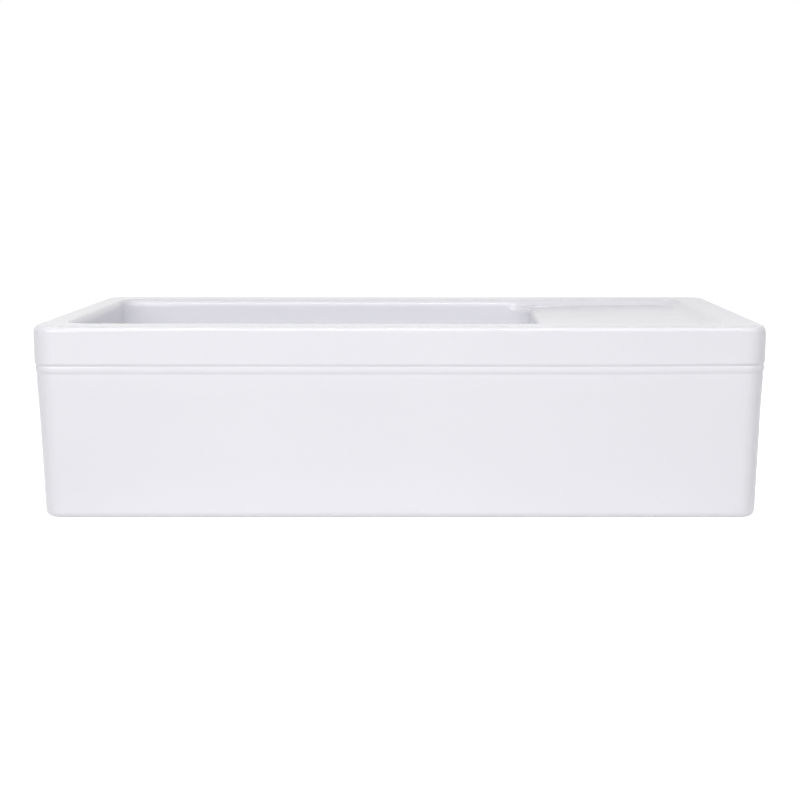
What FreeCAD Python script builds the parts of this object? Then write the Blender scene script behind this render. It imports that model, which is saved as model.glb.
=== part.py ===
"""Farmhouse apron front sink: a glazed fireclay casting with one bowl, a drainboard and a basket strainer.

Frame: X to the right, Y to the back, Z up, in millimetres. The origin is the middle of the base,
on the surface that the sink stands on. The apron faces -Y and the drainboard lies on the +X side.
"""

import FreeCAD, Part
import math
import os

import Sketcher

SIZES = [
    # the casting's outside
    ("sink_length", 1003.0),
    ("sink_width", 508.0),
    ("sink_height", 266.0),
    ("corner_radius", 38.0),
    ("rim_edge_round", 8.0),
    ("base_edge_round", 10.0),
    # the apron's moulding, from the rim down
    ("lip_height", 49.5),
    ("lip_draft", 0.3),
    ("line_height", 5.0),
    ("upper_line_step", 1.3),
    ("band_height", 6.0),
    ("lower_line_step", 1.4),
    ("cove_height", 32.0),
    ("cove_step", 1.0),
    ("apron_draft", 5.2),
    # the bowl
    ("left_rim", 37.5),
    ("front_rim", 52.0),
    ("rim_inner_round", 8.0),
    ("bowl_length", 631.0),
    ("bowl_depth", 203.0),
    ("bowl_draft", 6.0),
    ("bowl_corner", 40.0),
    ("bowl_floor_round", 24.0),
    ("drainboard_lip", 26.0),
    ("dish_radius", 150.0),
    ("dish_fall", 2.0),
    # the drainboard
    ("right_rim", 51.5),
    ("drainboard_depth", 9.0),
    ("drainboard_fall", 3.0),
    ("drainboard_corner", 30.0),
    # the hollow underside
    ("floor_thickness", 22.0),
    ("bowl_wall", 14.0),
    ("foot_width", 20.0),
    ("rim_thickness", 34.0),
    # the drain opening in the floor of the bowl
    ("drain_hole_gap", 1.5),
    ("flange_recess", 4.5),
    ("flange_clearance", 1.0),
    # the strainer body
    ("flange_radius", 57.0),
    ("flange_flush", 0.3),
    ("flange_bevel", 0.8),
    ("seal_thickness", 0.8),
    ("seal_width", 9.0),
    ("thread_radius", 43.5),
    ("body_wall", 3.0),
    ("shoulder_drop", 3.5),
    ("flange_dish", 1.0),
    ("thread_past_nut", 1.2),
    ("seat_past_thread", 1.6),
    ("seat_radius", 36.0),
    ("seat_width", 5.0),
    ("seat_thickness", 1.8),
    ("seat_cone", 5.6),
    ("outlet_radius", 23.9),
    ("outlet_wall", 3.1),
    ("outlet_length", 13.9),
    ("outlet_drop", 9.5),
    ("cross_bar_width", 4.5),
    ("cross_hub_width", 4.5),
    ("cross_hub_room", 3.9),
    ("cross_bar_count", 4),
    # the clamp under the floor
    ("gasket_thickness", 3.0),
    ("gasket_width", 12.0),
    ("washer_thickness", 0.8),
    ("washer_width", 11.0),
    ("thread_gap", 0.5),
    ("locknut_height", 9.0),
    ("locknut_wall", 6.5),
    ("locknut_flange_height", 2.6),
    ("nut_clearance", 0.05),
    ("lug_count", 6),
    ("lug_width", 12.0),
    ("lug_length", 4.0),
    # the lift-out basket
    ("basket_gap", 0.42),
    ("basket_rim_inset", 1.0),
    ("basket_rim_height", 1.3),
    ("basket_sheet", 1.0),
    ("basket_wall_gap", 1.9),
    ("basket_taper", 2.6),
    ("basket_bottom_bevel", 4.0),
    ("hole_radius", 1.7),
    ("inner_ring_radius", 13.5),
    ("inner_ring_count", 10),
    ("middle_ring_radius", 20.5),
    ("middle_ring_count", 16),
    ("outer_ring_radius", 27.5),
    ("outer_ring_count", 22),
    ("slot_width", 2.4),
    ("slot_height", 9.0),
    ("slot_level", 7.0),
    ("slot_count", 24),
    # the bush that guides the post, and the ring that grips it
    ("bush_stem_radius", 5.5),
    ("bush_flange_radius", 8.5),
    ("bush_flange_height", 1.4),
    ("bush_boss_radius", 6.5),
    ("bush_height", 7.4),
    ("bush_recess_radius", 4.5),
    ("bush_recess_depth", 2.4),
    ("grip_ring_wire", 0.8),
    ("grip_ring_gap", 0.05),
    ("post_clearance", 0.05),
    # the stopper under the basket
    ("stopper_gap", 0.3),
    ("stopper_lift", 7.0),
    ("stopper_lift_gap", 0.6),
    ("stopper_edge_gap", 1.5),
    ("stopper_thickness", 4.5),
    ("stopper_bevel", 1.2),
    ("plate_inset", 8.5),
    ("plate_thickness", 1.0),
    ("post_radius", 2.5),
    ("post_shoulder_radius", 4.0),
    ("post_shoulder_height", 1.0),
    ("post_tail", 0.8),
    ("nut_radius", 4.6),
    ("nut_height", 4.0),
    ("knob_lift", 1.5),
    ("knob_height", 14.0),
    ("knob_radius", 10.0),
    ("knob_neck_radius", 5.0),
    ("knob_socket", 7.5),
]

doc = FreeCAD.newDocument("apron_front_sink")
sheet = doc.addObject("Spreadsheet::Sheet", "dims")
for row, (alias, value) in enumerate(SIZES, start=1):
    sheet.set("A%d" % row, alias)
    sheet.set("B%d" % row, str(value))
    sheet.setAlias("B%d" % row, alias)
doc.recompute()


# Levels and places that several pieces share, each written once as an expression of the sheet.
FLANGE_SEAT = "(dims.sink_height - dims.bowl_depth - dims.flange_recess)"
DRAIN_LEVEL = "(dims.sink_height - dims.bowl_depth)"
BOWL_FLOOR = "(%s + dims.dish_fall)" % DRAIN_LEVEL
FLOOR_UNDERSIDE = "(%s - dims.floor_thickness)" % DRAIN_LEVEL
HOLLOW_TOP = "(dims.sink_height - dims.rim_thickness)"
BOARD_LEVEL = "(dims.sink_height - dims.drainboard_depth)"
BOARD_EDGE_LEVEL = "(dims.sink_height - dims.drainboard_depth - dims.drainboard_fall)"

BOWL_LEFT = "(dims.sink_length / 2 - dims.left_rim - dims.rim_inner_round)"
BOWL_RIGHT = "(dims.bowl_length - %s)" % BOWL_LEFT
BOWL_HALF = "(dims.sink_width / 2 - dims.front_rim - dims.rim_inner_round)"
BOARD_RIGHT = "(dims.sink_length / 2 - dims.right_rim - dims.rim_inner_round)"
BOARD_LEFT = "(%s + dims.drainboard_lip)" % BOWL_RIGHT
DRAIN_X = "(%s - dims.bowl_length / 2)" % BOWL_RIGHT

APRON_INSET = "(dims.lip_draft + dims.upper_line_step + dims.lower_line_step + dims.cove_step)"
BASE_INSET = "(%s + dims.apron_draft)" % APRON_INSET
HOLLOW_ACROSS = "(dims.sink_length / 2 - %s - dims.foot_width)" % BASE_INSET
HOLLOW_HALF = "(dims.sink_width / 2 - %s - dims.foot_width)" % BASE_INSET
BLOCK_RIGHT = "(%s + dims.bowl_wall)" % BOWL_RIGHT
BLOCK_HALF = "(%s + dims.bowl_wall)" % BOWL_HALF

BORE_RADIUS = "(dims.thread_radius - dims.body_wall)"
FLANGE_UNDERSIDE = "(%s + dims.seal_thickness)" % FLANGE_SEAT
FLANGE_TOP = "(%s - dims.flange_flush)" % DRAIN_LEVEL
SHOULDER_TOP = "(%s - dims.flange_dish)" % FLANGE_TOP
SHOULDER_FOOT = "(%s - dims.shoulder_drop)" % SHOULDER_TOP
OUTLET_BORE = "(dims.outlet_radius - dims.outlet_wall)"
SEAT_BORE = "(dims.seat_radius - dims.seat_width)"
DRAIN_HOLE = "(dims.thread_radius + dims.drain_hole_gap)"
HUB_HOLE = "(dims.nut_radius + dims.cross_hub_room)"
HUB_RADIUS = "(%s + dims.cross_hub_width)" % HUB_HOLE

GASKET_FOOT = "(%s - dims.gasket_thickness)" % FLOOR_UNDERSIDE
WASHER_FOOT = "(%s - dims.washer_thickness)" % GASKET_FOOT
LOCKNUT_FOOT = "(%s - dims.locknut_height)" % WASHER_FOOT
THREAD_BORE = "(dims.thread_radius + dims.thread_gap)"
WASHER_RADIUS = "(%s + dims.washer_width)" % THREAD_BORE

# Thread, seat and outlet follow the locknut down, and the stopper and basket stand on the seat.
THREAD_END = "(%s - dims.thread_past_nut)" % LOCKNUT_FOOT
SEAT_LEVEL = "(%s - dims.seat_past_thread)" % THREAD_END
OUTLET_TOP = "(%s - dims.outlet_drop)" % SEAT_LEVEL
OUTLET_FOOT = "(%s - dims.outlet_length)" % OUTLET_TOP
STOPPER_RADIUS = "(dims.seat_radius - dims.stopper_edge_gap)"
STOPPER_FOOT = "(%s + dims.stopper_gap)" % SEAT_LEVEL
PLATE_FOOT = "(%s + dims.stopper_thickness)" % STOPPER_FOOT
PLATE_TOP = "(%s + dims.plate_thickness)" % PLATE_FOOT
NUT_FOOT = "(%s - dims.nut_height)" % STOPPER_FOOT

BASKET_RIM_RADIUS = "(%s + dims.shoulder_drop - dims.basket_rim_inset)" % BORE_RADIUS
BASKET_RIM_FOOT = "(%s - dims.basket_rim_inset + dims.basket_gap)" % SHOULDER_TOP
BASKET_TOP = "(%s + dims.basket_rim_height)" % BASKET_RIM_FOOT
BASKET_FOOT = "(%s + dims.stopper_lift + dims.stopper_lift_gap)" % PLATE_TOP
BASKET_FLOOR = "(%s + dims.basket_sheet)" % BASKET_FOOT
BASKET_WALL_TOP = "(%s - dims.basket_wall_gap)" % BORE_RADIUS
BASKET_WALL_FOOT = "(%s - dims.basket_taper)" % BASKET_WALL_TOP
BUSH_TOP = "(%s + dims.bush_height)" % BASKET_FOOT
BUSH_BORE = "(dims.post_radius + dims.post_clearance)"
GRIP_LEVEL = "((%s + %s + dims.bush_recess_depth) / 2)" % (BUSH_TOP, BASKET_FOOT)
GRIP_RADIUS = "(dims.post_radius + dims.grip_ring_gap + dims.grip_ring_wire)"
KNOB_FOOT = "(%s + dims.knob_lift)" % BUSH_TOP
KNOB_TOP = "(%s + dims.knob_height)" % KNOB_FOOT

# The knob's outline, from the neck up: each pair is a share of its radius and of its height.
KNOB_FORM = [(0.80, 0.48), (1.00, 0.62), (1.00, 0.80), (0.82, 0.93), (0.40, 1.00)]
KNOB_NECK = 0.30

ROUND_STEPS = 5     # straight steps in a quarter round
CUT_PAST = 1.0      # how far a cut runs past the faces that it opens
DRAWN_AT = 60.0     # where a sketch is first drawn, before its constraints place it
DRAWN_SIZE = 20.0   # how large it is first drawn


def new_body(label):
    """An empty body whose label is the name of the piece."""
    body = doc.addObject("PartDesign::Body", label)
    body.Label = label
    return body


def at_drain(body):
    """Put a piece of the strainer on the axis of the drain."""
    body.setExpression(".Placement.Base.x", DRAIN_X)
    return body


def datum(body, role):
    """The body's own origin plane or axis of that role."""
    return next(item for item in body.Origin.OriginFeatures if item.Role == role)


def sketch_on(body, name, role="XY_Plane", level=None, along=None):
    """A sketch on one of the body's origin planes, raised or moved along X by an expression."""
    sketch = body.newObject("Sketcher::SketchObject", name)
    sketch.AttachmentSupport = [(datum(body, role), "")]
    sketch.MapMode = "FlatFace"
    if level:
        sketch.setExpression(".AttachmentOffset.Base.z", level)
    if along:
        sketch.setExpression(".AttachmentOffset.Base.x", along)
    return sketch


def bind(sketch, kind, arguments, drawn, expression):
    """Add one driving constraint at the size as drawn, and tie it to an expression."""
    index = sketch.addConstraint(Sketcher.Constraint(kind, *arguments, drawn))
    sketch.setExpression("Constraints[%d]" % index, expression)


def outline(body, name, points, role="XZ_Plane", level=None, along=None):
    """A closed polygon sketch. Each corner is a pair of expressions, and "0" puts it on an axis."""
    sketch = sketch_on(body, name, role, level, along)
    count = len(points)
    turn = 2 * math.pi / count
    start = [FreeCAD.Vector(DRAWN_AT + DRAWN_SIZE * math.cos(i * turn),
                            DRAWN_AT + DRAWN_SIZE * math.sin(i * turn), 0)
             for i in range(count)]
    for i in range(count):
        sketch.addGeometry(Part.LineSegment(start[i], start[(i + 1) % count]))
    for i in range(count):
        sketch.addConstraint(Sketcher.Constraint("Coincident", i, 2, (i + 1) % count, 1))
    for i, (across, up) in enumerate(points):
        if across == "0":
            sketch.addConstraint(Sketcher.Constraint("PointOnObject", i, 1, -2))
        else:
            bind(sketch, "DistanceX", (-1, 1, i, 1), start[i].x, across)
        if up == "0":
            sketch.addConstraint(Sketcher.Constraint("PointOnObject", i, 1, -1))
        else:
            bind(sketch, "DistanceY", (-1, 1, i, 1), start[i].y, up)
    return sketch


def rounded_box(body, name, level, left, right, half, radius):
    """A rounded rectangle at a level, as deep on both sides of the X axis.

    left is its reach towards -X, right its reach towards +X, and half its reach towards either Y.
    """
    sketch = sketch_on(body, name, "XY_Plane", level)
    x = DRAWN_AT + DRAWN_SIZE
    y = DRAWN_AT
    r = DRAWN_SIZE / 2
    corners = [(x - r, y - r), (-x + r, y - r), (-x + r, -y + r), (x - r, -y + r)]
    sides = [((x - r, y), (-x + r, y)), ((-x, y - r), (-x, -y + r)),
             ((-x + r, -y), (x - r, -y)), ((x, -y + r), (x, y - r))]
    for begin, end in sides:
        sketch.addGeometry(Part.LineSegment(FreeCAD.Vector(*begin, 0), FreeCAD.Vector(*end, 0)))
    for quarter, centre in enumerate(corners):
        circle = Part.Circle(FreeCAD.Vector(*centre, 0), FreeCAD.Vector(0, 0, 1), r)
        begin = quarter * math.pi / 2
        sketch.addGeometry(Part.ArcOfCircle(circle, begin, begin + math.pi / 2))
    for side in range(4):
        arc_before = 4 + side
        arc_after = 4 + (side + 1) % 4
        sketch.addConstraint(Sketcher.Constraint("Tangent", arc_before, 2, side, 1))
        sketch.addConstraint(Sketcher.Constraint("Tangent", side, 2, arc_after, 1))
    for side in (0, 2):
        sketch.addConstraint(Sketcher.Constraint("Horizontal", side))
    for side in (1, 3):
        sketch.addConstraint(Sketcher.Constraint("Vertical", side))
    for arc in (5, 6, 7):
        sketch.addConstraint(Sketcher.Constraint("Equal", 4, arc))
    bind(sketch, "Radius", (4,), r, radius)
    bind(sketch, "DistanceY", (-1, 1, 0, 1), y, half)
    bind(sketch, "DistanceX", (1, 1, -1, 1), x, left)
    bind(sketch, "DistanceX", (-1, 1, 3, 1), x, right)
    bind(sketch, "DistanceY", (2, 1, -1, 1), y, half)
    return sketch


def revolve(body, name, points):
    """A ring or disc: the outline in radius and height, turned about the Z axis."""
    sketch = outline(body, name + "_section", points)
    feature = body.newObject("PartDesign::Revolution", name)
    feature.Profile = sketch
    feature.ReferenceAxis = (sketch, ["V_Axis"])
    feature.Angle = 360
    doc.recompute()
    return feature


def groove(body, name, points, along=None):
    """The same, cut away, about the Z axis or an axis moved along X."""
    sketch = outline(body, name + "_section", points, along=along)
    feature = body.newObject("PartDesign::Groove", name)
    feature.Profile = sketch
    feature.ReferenceAxis = (sketch, ["V_Axis"])
    feature.Angle = 360
    return cut_checked(body, feature)


def cut_checked(body, feature):
    """Recompute, and stop if the cut took nothing away."""
    doc.recompute()
    base = feature.BaseFeature.Shape.Volume
    if feature.Shape.Volume > base - 0.01:
        raise RuntimeError("%s in %s cut nothing" % (feature.Name, body.Label))
    return feature


def loft(body, kind, name, sketches):
    """A ruled loft through level sketches."""
    feature = body.newObject(kind, name)
    feature.Profile = sketches[0]
    feature.Sections = sketches[1:]
    feature.Ruled = True
    doc.recompute()
    return feature


def around(body, name, original, count):
    """Repeat a feature evenly about the Z axis."""
    pattern = body.newObject("PartDesign::PolarPattern", name)
    pattern.Originals = [original]
    pattern.Axis = (datum(body, "Z_Axis"), [""])
    pattern.Angle = 360
    pattern.setExpression("Occurrences", count)
    body.Tip = pattern
    doc.recompute()
    return pattern


def quarter(round_size):
    """A quarter round in level steps: how far along and how far in, as shares of its radius."""
    for step in range(ROUND_STEPS + 1):
        angle = 90.0 * step / ROUND_STEPS
        yield ("%s * sin(%g deg)" % (round_size, angle),
               "%s * (1 - cos(%g deg))" % (round_size, angle))


def skin_sections(body):
    """The casting's outside, from the rim down to the base, as level outlines."""
    outline_list = []
    rim_foot = "dims.sink_height - dims.rim_edge_round"
    for rise, inset in quarter("dims.rim_edge_round"):
        outline_list.append(("%s + %s" % (rim_foot, rise), inset))
    outline_list.reverse()
    level = rim_foot
    inset = "0"
    moulding = [
        ("dims.lip_height - dims.rim_edge_round", "dims.lip_draft"),
        ("dims.line_height", "dims.upper_line_step"),
        ("dims.band_height", "0"),
        ("dims.line_height", "dims.lower_line_step"),
        ("dims.cove_height", "dims.cove_step"),
    ]
    for drop, step in moulding:
        level = "%s - (%s)" % (level, drop)
        inset = "%s + %s" % (inset, step)
        outline_list.append((level, inset))
    for rise, step in quarter("dims.base_edge_round"):
        outline_list.append(("dims.base_edge_round - %s" % rise, "%s + %s" % (BASE_INSET, step)))
    sections = []
    for number, (level, inset) in enumerate(outline_list):
        across = "dims.sink_length / 2 - (%s)" % inset
        deep = "dims.sink_width / 2 - (%s)" % inset
        radius = "dims.corner_radius - (%s)" % inset
        sections.append(rounded_box(body, "skin_%d" % number, level, across, across, deep, radius))
    return sections[::-1]


def opening_sections(body):
    """The mouth that bowl and drainboard share: a shallow tray with its rim rolled over."""
    sections = [rounded_box(body, "mouth_floor", BOARD_LEVEL, BOWL_LEFT, BOARD_RIGHT,
                            BOWL_HALF, "dims.drainboard_corner")]
    foot = "dims.sink_height - dims.rim_inner_round"
    for number, (rise, out) in enumerate(quarter("dims.rim_inner_round")):
        sections.append(rounded_box(
            body, "mouth_%d" % number, "%s + %s" % (foot, rise),
            "%s + %s" % (BOWL_LEFT, out), "%s + %s" % (BOARD_RIGHT, out),
            "%s + %s" % (BOWL_HALF, out), "dims.drainboard_corner + %s" % out))
    return sections


def bowl_sections(body):
    """The bowl's hollow: rounded floor, drafted walls, and the drainboard's edge rolled over."""
    sections = []
    floor_round_top = "(%s + dims.bowl_floor_round)" % BOWL_FLOOR
    rounds = list(quarter("dims.bowl_floor_round"))
    for number, (drop, step) in enumerate(reversed(rounds)):
        inset = "(dims.bowl_draft + %s)" % step
        sections.append(rounded_box(
            body, "bowl_floor_%d" % number, "%s - %s" % (floor_round_top, drop),
            "%s - %s" % (BOWL_LEFT, inset), "%s - %s" % (BOWL_RIGHT, inset),
            "%s - %s" % (BOWL_HALF, inset), "dims.bowl_corner - %s" % inset))
    lip_foot = "(%s - dims.drainboard_lip)" % BOARD_EDGE_LEVEL
    for number, (rise, out) in enumerate(quarter("dims.drainboard_lip")):
        sections.append(rounded_box(
            body, "bowl_edge_%d" % number, "%s + %s" % (lip_foot, rise), BOWL_LEFT,
            "%s + %s" % (BOWL_RIGHT, out), BOWL_HALF, "dims.bowl_corner"))
    sections.append(rounded_box(body, "bowl_mouth", BOARD_LEVEL, BOWL_LEFT, BOARD_LEFT,
                                BOWL_HALF, "dims.bowl_corner"))
    return sections


def cut_fall(body):
    """The drainboard's fall: a wedge that deepens towards the bowl."""
    far_end = "(%s - dims.drainboard_corner)" % BOARD_RIGHT
    inside_bowl = "(%s - dims.bowl_corner)" % BOWL_RIGHT
    slope = "dims.drainboard_fall / (%s - %s)" % (far_end, BOARD_LEFT)
    sketch = outline(body, "fall_section", [
        (inside_bowl, "%s - %s * (%s - %s)" % (BOARD_LEVEL, slope, far_end, inside_bowl)),
        (far_end, BOARD_LEVEL),
        (inside_bowl, BOARD_LEVEL),
    ])
    feature = body.newObject("PartDesign::Pocket", "fall")
    feature.Profile = sketch
    feature.Type = 0
    feature.Midplane = True
    feature.setExpression("Length", "2 * %s" % BOWL_HALF)
    return cut_checked(body, feature)


def cut_drain(body):
    """The drain opening, with a recess for the strainer's flange and a shallow dish around it."""
    recess = "dims.flange_radius + dims.flange_clearance"
    below = "%s - %g" % (FLOOR_UNDERSIDE, CUT_PAST)
    above = "%s + %g" % (BOWL_FLOOR, CUT_PAST)
    return groove(body, "drain", [
        ("0", below),
        (DRAIN_HOLE, below),
        (DRAIN_HOLE, FLANGE_SEAT),
        (recess, FLANGE_SEAT),
        (recess, DRAIN_LEVEL),
        ("dims.dish_radius", BOWL_FLOOR),
        ("dims.dish_radius", above),
        ("0", above),
    ], along=DRAIN_X)


def hollow(body, name, left, right, front, back, height):
    """A hollow cast into the underside, from the base up to a height."""
    corners = [(left, front), (right, front), (right, back), (left, back)]
    sketch = outline(body, name + "_section", corners, "XY_Plane")
    feature = body.newObject("PartDesign::Pocket", name)
    feature.Profile = sketch
    feature.Type = 0
    feature.Reversed = True
    feature.setExpression("Length", height)
    return cut_checked(body, feature)


def make_sink_body():
    """The fireclay casting: skin, bowl, drainboard, drain opening and hollow underside."""
    body = new_body("sink_body")
    loft(body, "PartDesign::AdditiveLoft", "skin", skin_sections(body))
    loft(body, "PartDesign::SubtractiveLoft", "mouth", opening_sections(body))
    loft(body, "PartDesign::SubtractiveLoft", "bowl", bowl_sections(body))
    cut_fall(body)
    cut_drain(body)
    far_left = "-%s" % HOLLOW_ACROSS
    near_front = "-%s" % HOLLOW_HALF
    hollow(body, "foot_hollow", far_left, HOLLOW_ACROSS, near_front, HOLLOW_HALF, FLOOR_UNDERSIDE)
    hollow(body, "board_hollow", BLOCK_RIGHT, HOLLOW_ACROSS, near_front, HOLLOW_HALF, HOLLOW_TOP)
    block_left = "-%s" % BOWL_LEFT
    hollow(body, "rear_hollow", block_left, BLOCK_RIGHT, BLOCK_HALF, HOLLOW_HALF, HOLLOW_TOP)
    hollow(body, "front_hollow", block_left, BLOCK_RIGHT, near_front, "-%s" % BLOCK_HALF, HOLLOW_TOP)
    return body


def make_strainer_body():
    """The strainer's cast body: flange, threaded wall, seat for the stopper, and outlet."""
    body = at_drain(new_body("strainer_body"))
    cone_top = "%s + dims.seat_cone" % SEAT_LEVEL
    ledge_foot = "%s - dims.seat_thickness" % SEAT_LEVEL
    revolve(body, "shell", [
        ("dims.flange_radius", FLANGE_UNDERSIDE),
        ("dims.flange_radius", "%s - dims.flange_bevel" % FLANGE_TOP),
        ("dims.flange_radius - dims.flange_bevel", FLANGE_TOP),
        ("%s + 3 * dims.shoulder_drop" % BORE_RADIUS, FLANGE_TOP),
        ("%s + dims.shoulder_drop" % BORE_RADIUS, SHOULDER_TOP),
        (BORE_RADIUS, SHOULDER_FOOT),
        (BORE_RADIUS, cone_top),
        ("dims.seat_radius", SEAT_LEVEL),
        (SEAT_BORE, SEAT_LEVEL),
        (SEAT_BORE, ledge_foot),
        (OUTLET_BORE, "%s + dims.seat_thickness" % OUTLET_TOP),
        (OUTLET_BORE, OUTLET_FOOT),
        ("dims.outlet_radius", OUTLET_FOOT),
        ("dims.outlet_radius", OUTLET_TOP),
        ("%s + dims.seat_thickness" % SEAT_BORE, "%s - dims.body_wall / 2" % ledge_foot),
        ("dims.thread_radius - dims.seat_cone", "%s - dims.body_wall / 2" % ledge_foot),
        ("dims.thread_radius", THREAD_END),
        ("dims.thread_radius", FLANGE_UNDERSIDE),
    ])
    revolve(body, "cross_hub", [
        (HUB_HOLE, ledge_foot),
        (HUB_RADIUS, ledge_foot),
        (HUB_RADIUS, SEAT_LEVEL),
        (HUB_HOLE, SEAT_LEVEL),
    ])
    bar_start = "(%s + %s) / 2" % (HUB_RADIUS, HUB_HOLE)
    bar_end = "(%s + dims.seat_radius) / 2" % SEAT_BORE
    half_width = "dims.cross_bar_width / 2"
    section = outline(body, "cross_bar_section", [
        (bar_start, "-%s" % half_width),
        (bar_end, "-%s" % half_width),
        (bar_end, half_width),
        (bar_start, half_width),
    ], "XY_Plane", ledge_foot)
    bar = body.newObject("PartDesign::Pad", "cross_bar")
    bar.Profile = section
    bar.setExpression("Length", "dims.seat_thickness")
    doc.recompute()
    around(body, "cross_bars", bar, "dims.cross_bar_count")
    return body


def make_ring(label, inner, outer, foot, top):
    """A flat ring between two heights."""
    body = at_drain(new_body(label))
    revolve(body, "ring", [(inner, foot), (outer, foot), (outer, top), (inner, top)])
    return body


def make_locknut():
    """The nut under the floor: a flanged collar with lugs for a spanner."""
    body = at_drain(new_body("locknut"))
    bore = "dims.thread_radius + dims.nut_clearance"
    collar = "(dims.thread_radius + dims.locknut_wall)"
    flange_foot = "%s - dims.locknut_flange_height" % WASHER_FOOT
    revolve(body, "collar", [
        (bore, LOCKNUT_FOOT),
        (collar, LOCKNUT_FOOT),
        (collar, flange_foot),
        (WASHER_RADIUS, flange_foot),
        (WASHER_RADIUS, WASHER_FOOT),
        (bore, WASHER_FOOT),
    ])
    root = "%s - dims.locknut_wall / 2" % collar
    tip = "%s + dims.lug_length" % collar
    half_width = "dims.lug_width / 2"
    section = outline(body, "lug_section", [
        (root, "-%s" % half_width),
        (tip, "-%s" % half_width),
        (tip, half_width),
        (root, half_width),
    ], "XY_Plane", LOCKNUT_FOOT)
    lug = body.newObject("PartDesign::Pad", "lug")
    lug.Profile = section
    lug.setExpression("Length", "dims.locknut_height - dims.locknut_flange_height")
    doc.recompute()
    around(body, "lugs", lug, "dims.lug_count")
    return body


def pierce(body, name, ring_radius, count):
    """A ring of round holes through the bottom of the basket."""
    sketch = sketch_on(body, name + "_section", "XY_Plane", "%s - dims.basket_sheet" % BASKET_FOOT)
    drawn_radius = DRAWN_SIZE / 10
    circle = Part.Circle(FreeCAD.Vector(DRAWN_SIZE, 0, 0), FreeCAD.Vector(0, 0, 1), drawn_radius)
    sketch.addGeometry(circle)
    sketch.addConstraint(Sketcher.Constraint("PointOnObject", 0, 3, -1))
    bind(sketch, "DistanceX", (-1, 1, 0, 3), DRAWN_SIZE, ring_radius)
    bind(sketch, "Radius", (0,), drawn_radius, "dims.hole_radius")
    hole = body.newObject("PartDesign::Pocket", name)
    hole.Profile = sketch
    hole.Type = 0
    hole.Reversed = True
    hole.setExpression("Length", "3 * dims.basket_sheet")
    cut_checked(body, hole)
    around(body, name + "_ring", hole, count)


def make_basket_cup():
    """The pressed basket that lifts out: a rimmed cup with holes in its floor and slots in its wall."""
    body = at_drain(new_body("basket_cup"))
    sheet_corner = "dims.basket_sheet * tan(22.5 deg)"
    foot_corner = "%s - dims.basket_bottom_bevel" % BASKET_WALL_FOOT
    bevel_top = "%s + dims.basket_bottom_bevel" % BASKET_FOOT
    revolve(body, "cup", [
        (BASKET_RIM_RADIUS, BASKET_RIM_FOOT),
        (BASKET_RIM_RADIUS, BASKET_TOP),
        ("%s - dims.basket_sheet" % BASKET_WALL_TOP, BASKET_TOP),
        ("%s - dims.basket_sheet" % BASKET_WALL_FOOT, "%s + %s" % (bevel_top, sheet_corner)),
        ("%s - %s" % (foot_corner, sheet_corner), BASKET_FLOOR),
        ("dims.bush_stem_radius", BASKET_FLOOR),
        ("dims.bush_stem_radius", BASKET_FOOT),
        (foot_corner, BASKET_FOOT),
        (BASKET_WALL_FOOT, bevel_top),
        (BASKET_WALL_TOP, BASKET_RIM_FOOT),
    ])
    pierce(body, "inner_hole", "dims.inner_ring_radius", "dims.inner_ring_count")
    pierce(body, "middle_hole", "dims.middle_ring_radius", "dims.middle_ring_count")
    pierce(body, "outer_hole", "dims.outer_ring_radius", "dims.outer_ring_count")
    slot_foot = "%s + dims.slot_level" % BASKET_FOOT
    slot_top = "%s + dims.slot_height" % slot_foot
    section = outline(body, "slot_section", [
        ("-dims.slot_width / 2", slot_foot),
        ("dims.slot_width / 2", slot_foot),
        ("dims.slot_width / 2", slot_top),
        ("-dims.slot_width / 2", slot_top),
    ], "YZ_Plane", "dims.outer_ring_radius")
    slot = body.newObject("PartDesign::Pocket", "slot")
    slot.Profile = section
    slot.Type = 0
    slot.Reversed = True
    slot.setExpression("Length", "%s - dims.outer_ring_radius" % BASKET_RIM_RADIUS)
    cut_checked(body, slot)
    around(body, "slots", slot, "dims.slot_count")
    return body


def make_basket_bush():
    """The turned bush riveted into the basket's floor: it guides the post and holds the grip ring."""
    body = at_drain(new_body("basket_bush"))
    flange_top = "%s + dims.bush_flange_height" % BASKET_FLOOR
    recess_top = "%s + dims.bush_recess_depth" % BASKET_FOOT
    groove_half = "(dims.grip_ring_wire + dims.grip_ring_gap)"
    groove_floor = "%s + %s" % (GRIP_RADIUS, groove_half)
    revolve(body, "bush", [
        ("dims.bush_recess_radius", BASKET_FOOT),
        ("dims.bush_stem_radius", BASKET_FOOT),
        ("dims.bush_stem_radius", BASKET_FLOOR),
        ("dims.bush_flange_radius", BASKET_FLOOR),
        ("dims.bush_flange_radius", flange_top),
        ("dims.bush_boss_radius", flange_top),
        ("dims.bush_boss_radius", BUSH_TOP),
        (BUSH_BORE, BUSH_TOP),
        (BUSH_BORE, "%s + %s" % (GRIP_LEVEL, groove_half)),
        (groove_floor, "%s + %s" % (GRIP_LEVEL, groove_half)),
        (groove_floor, "%s - %s" % (GRIP_LEVEL, groove_half)),
        (BUSH_BORE, "%s - %s" % (GRIP_LEVEL, groove_half)),
        (BUSH_BORE, recess_top),
        ("dims.bush_recess_radius", recess_top),
    ])
    return body


def make_grip_ring():
    """The rubber ring that grips the post, so that the stopper stays where it is lifted to."""
    ring = doc.addObject("Part::Torus", "grip_ring")
    ring.Label = "grip_ring"
    ring.setExpression("Radius1", GRIP_RADIUS)
    ring.setExpression("Radius2", "dims.grip_ring_wire")
    ring.setExpression(".Placement.Base.x", DRAIN_X)
    ring.setExpression(".Placement.Base.z", GRIP_LEVEL)
    return ring


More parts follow.
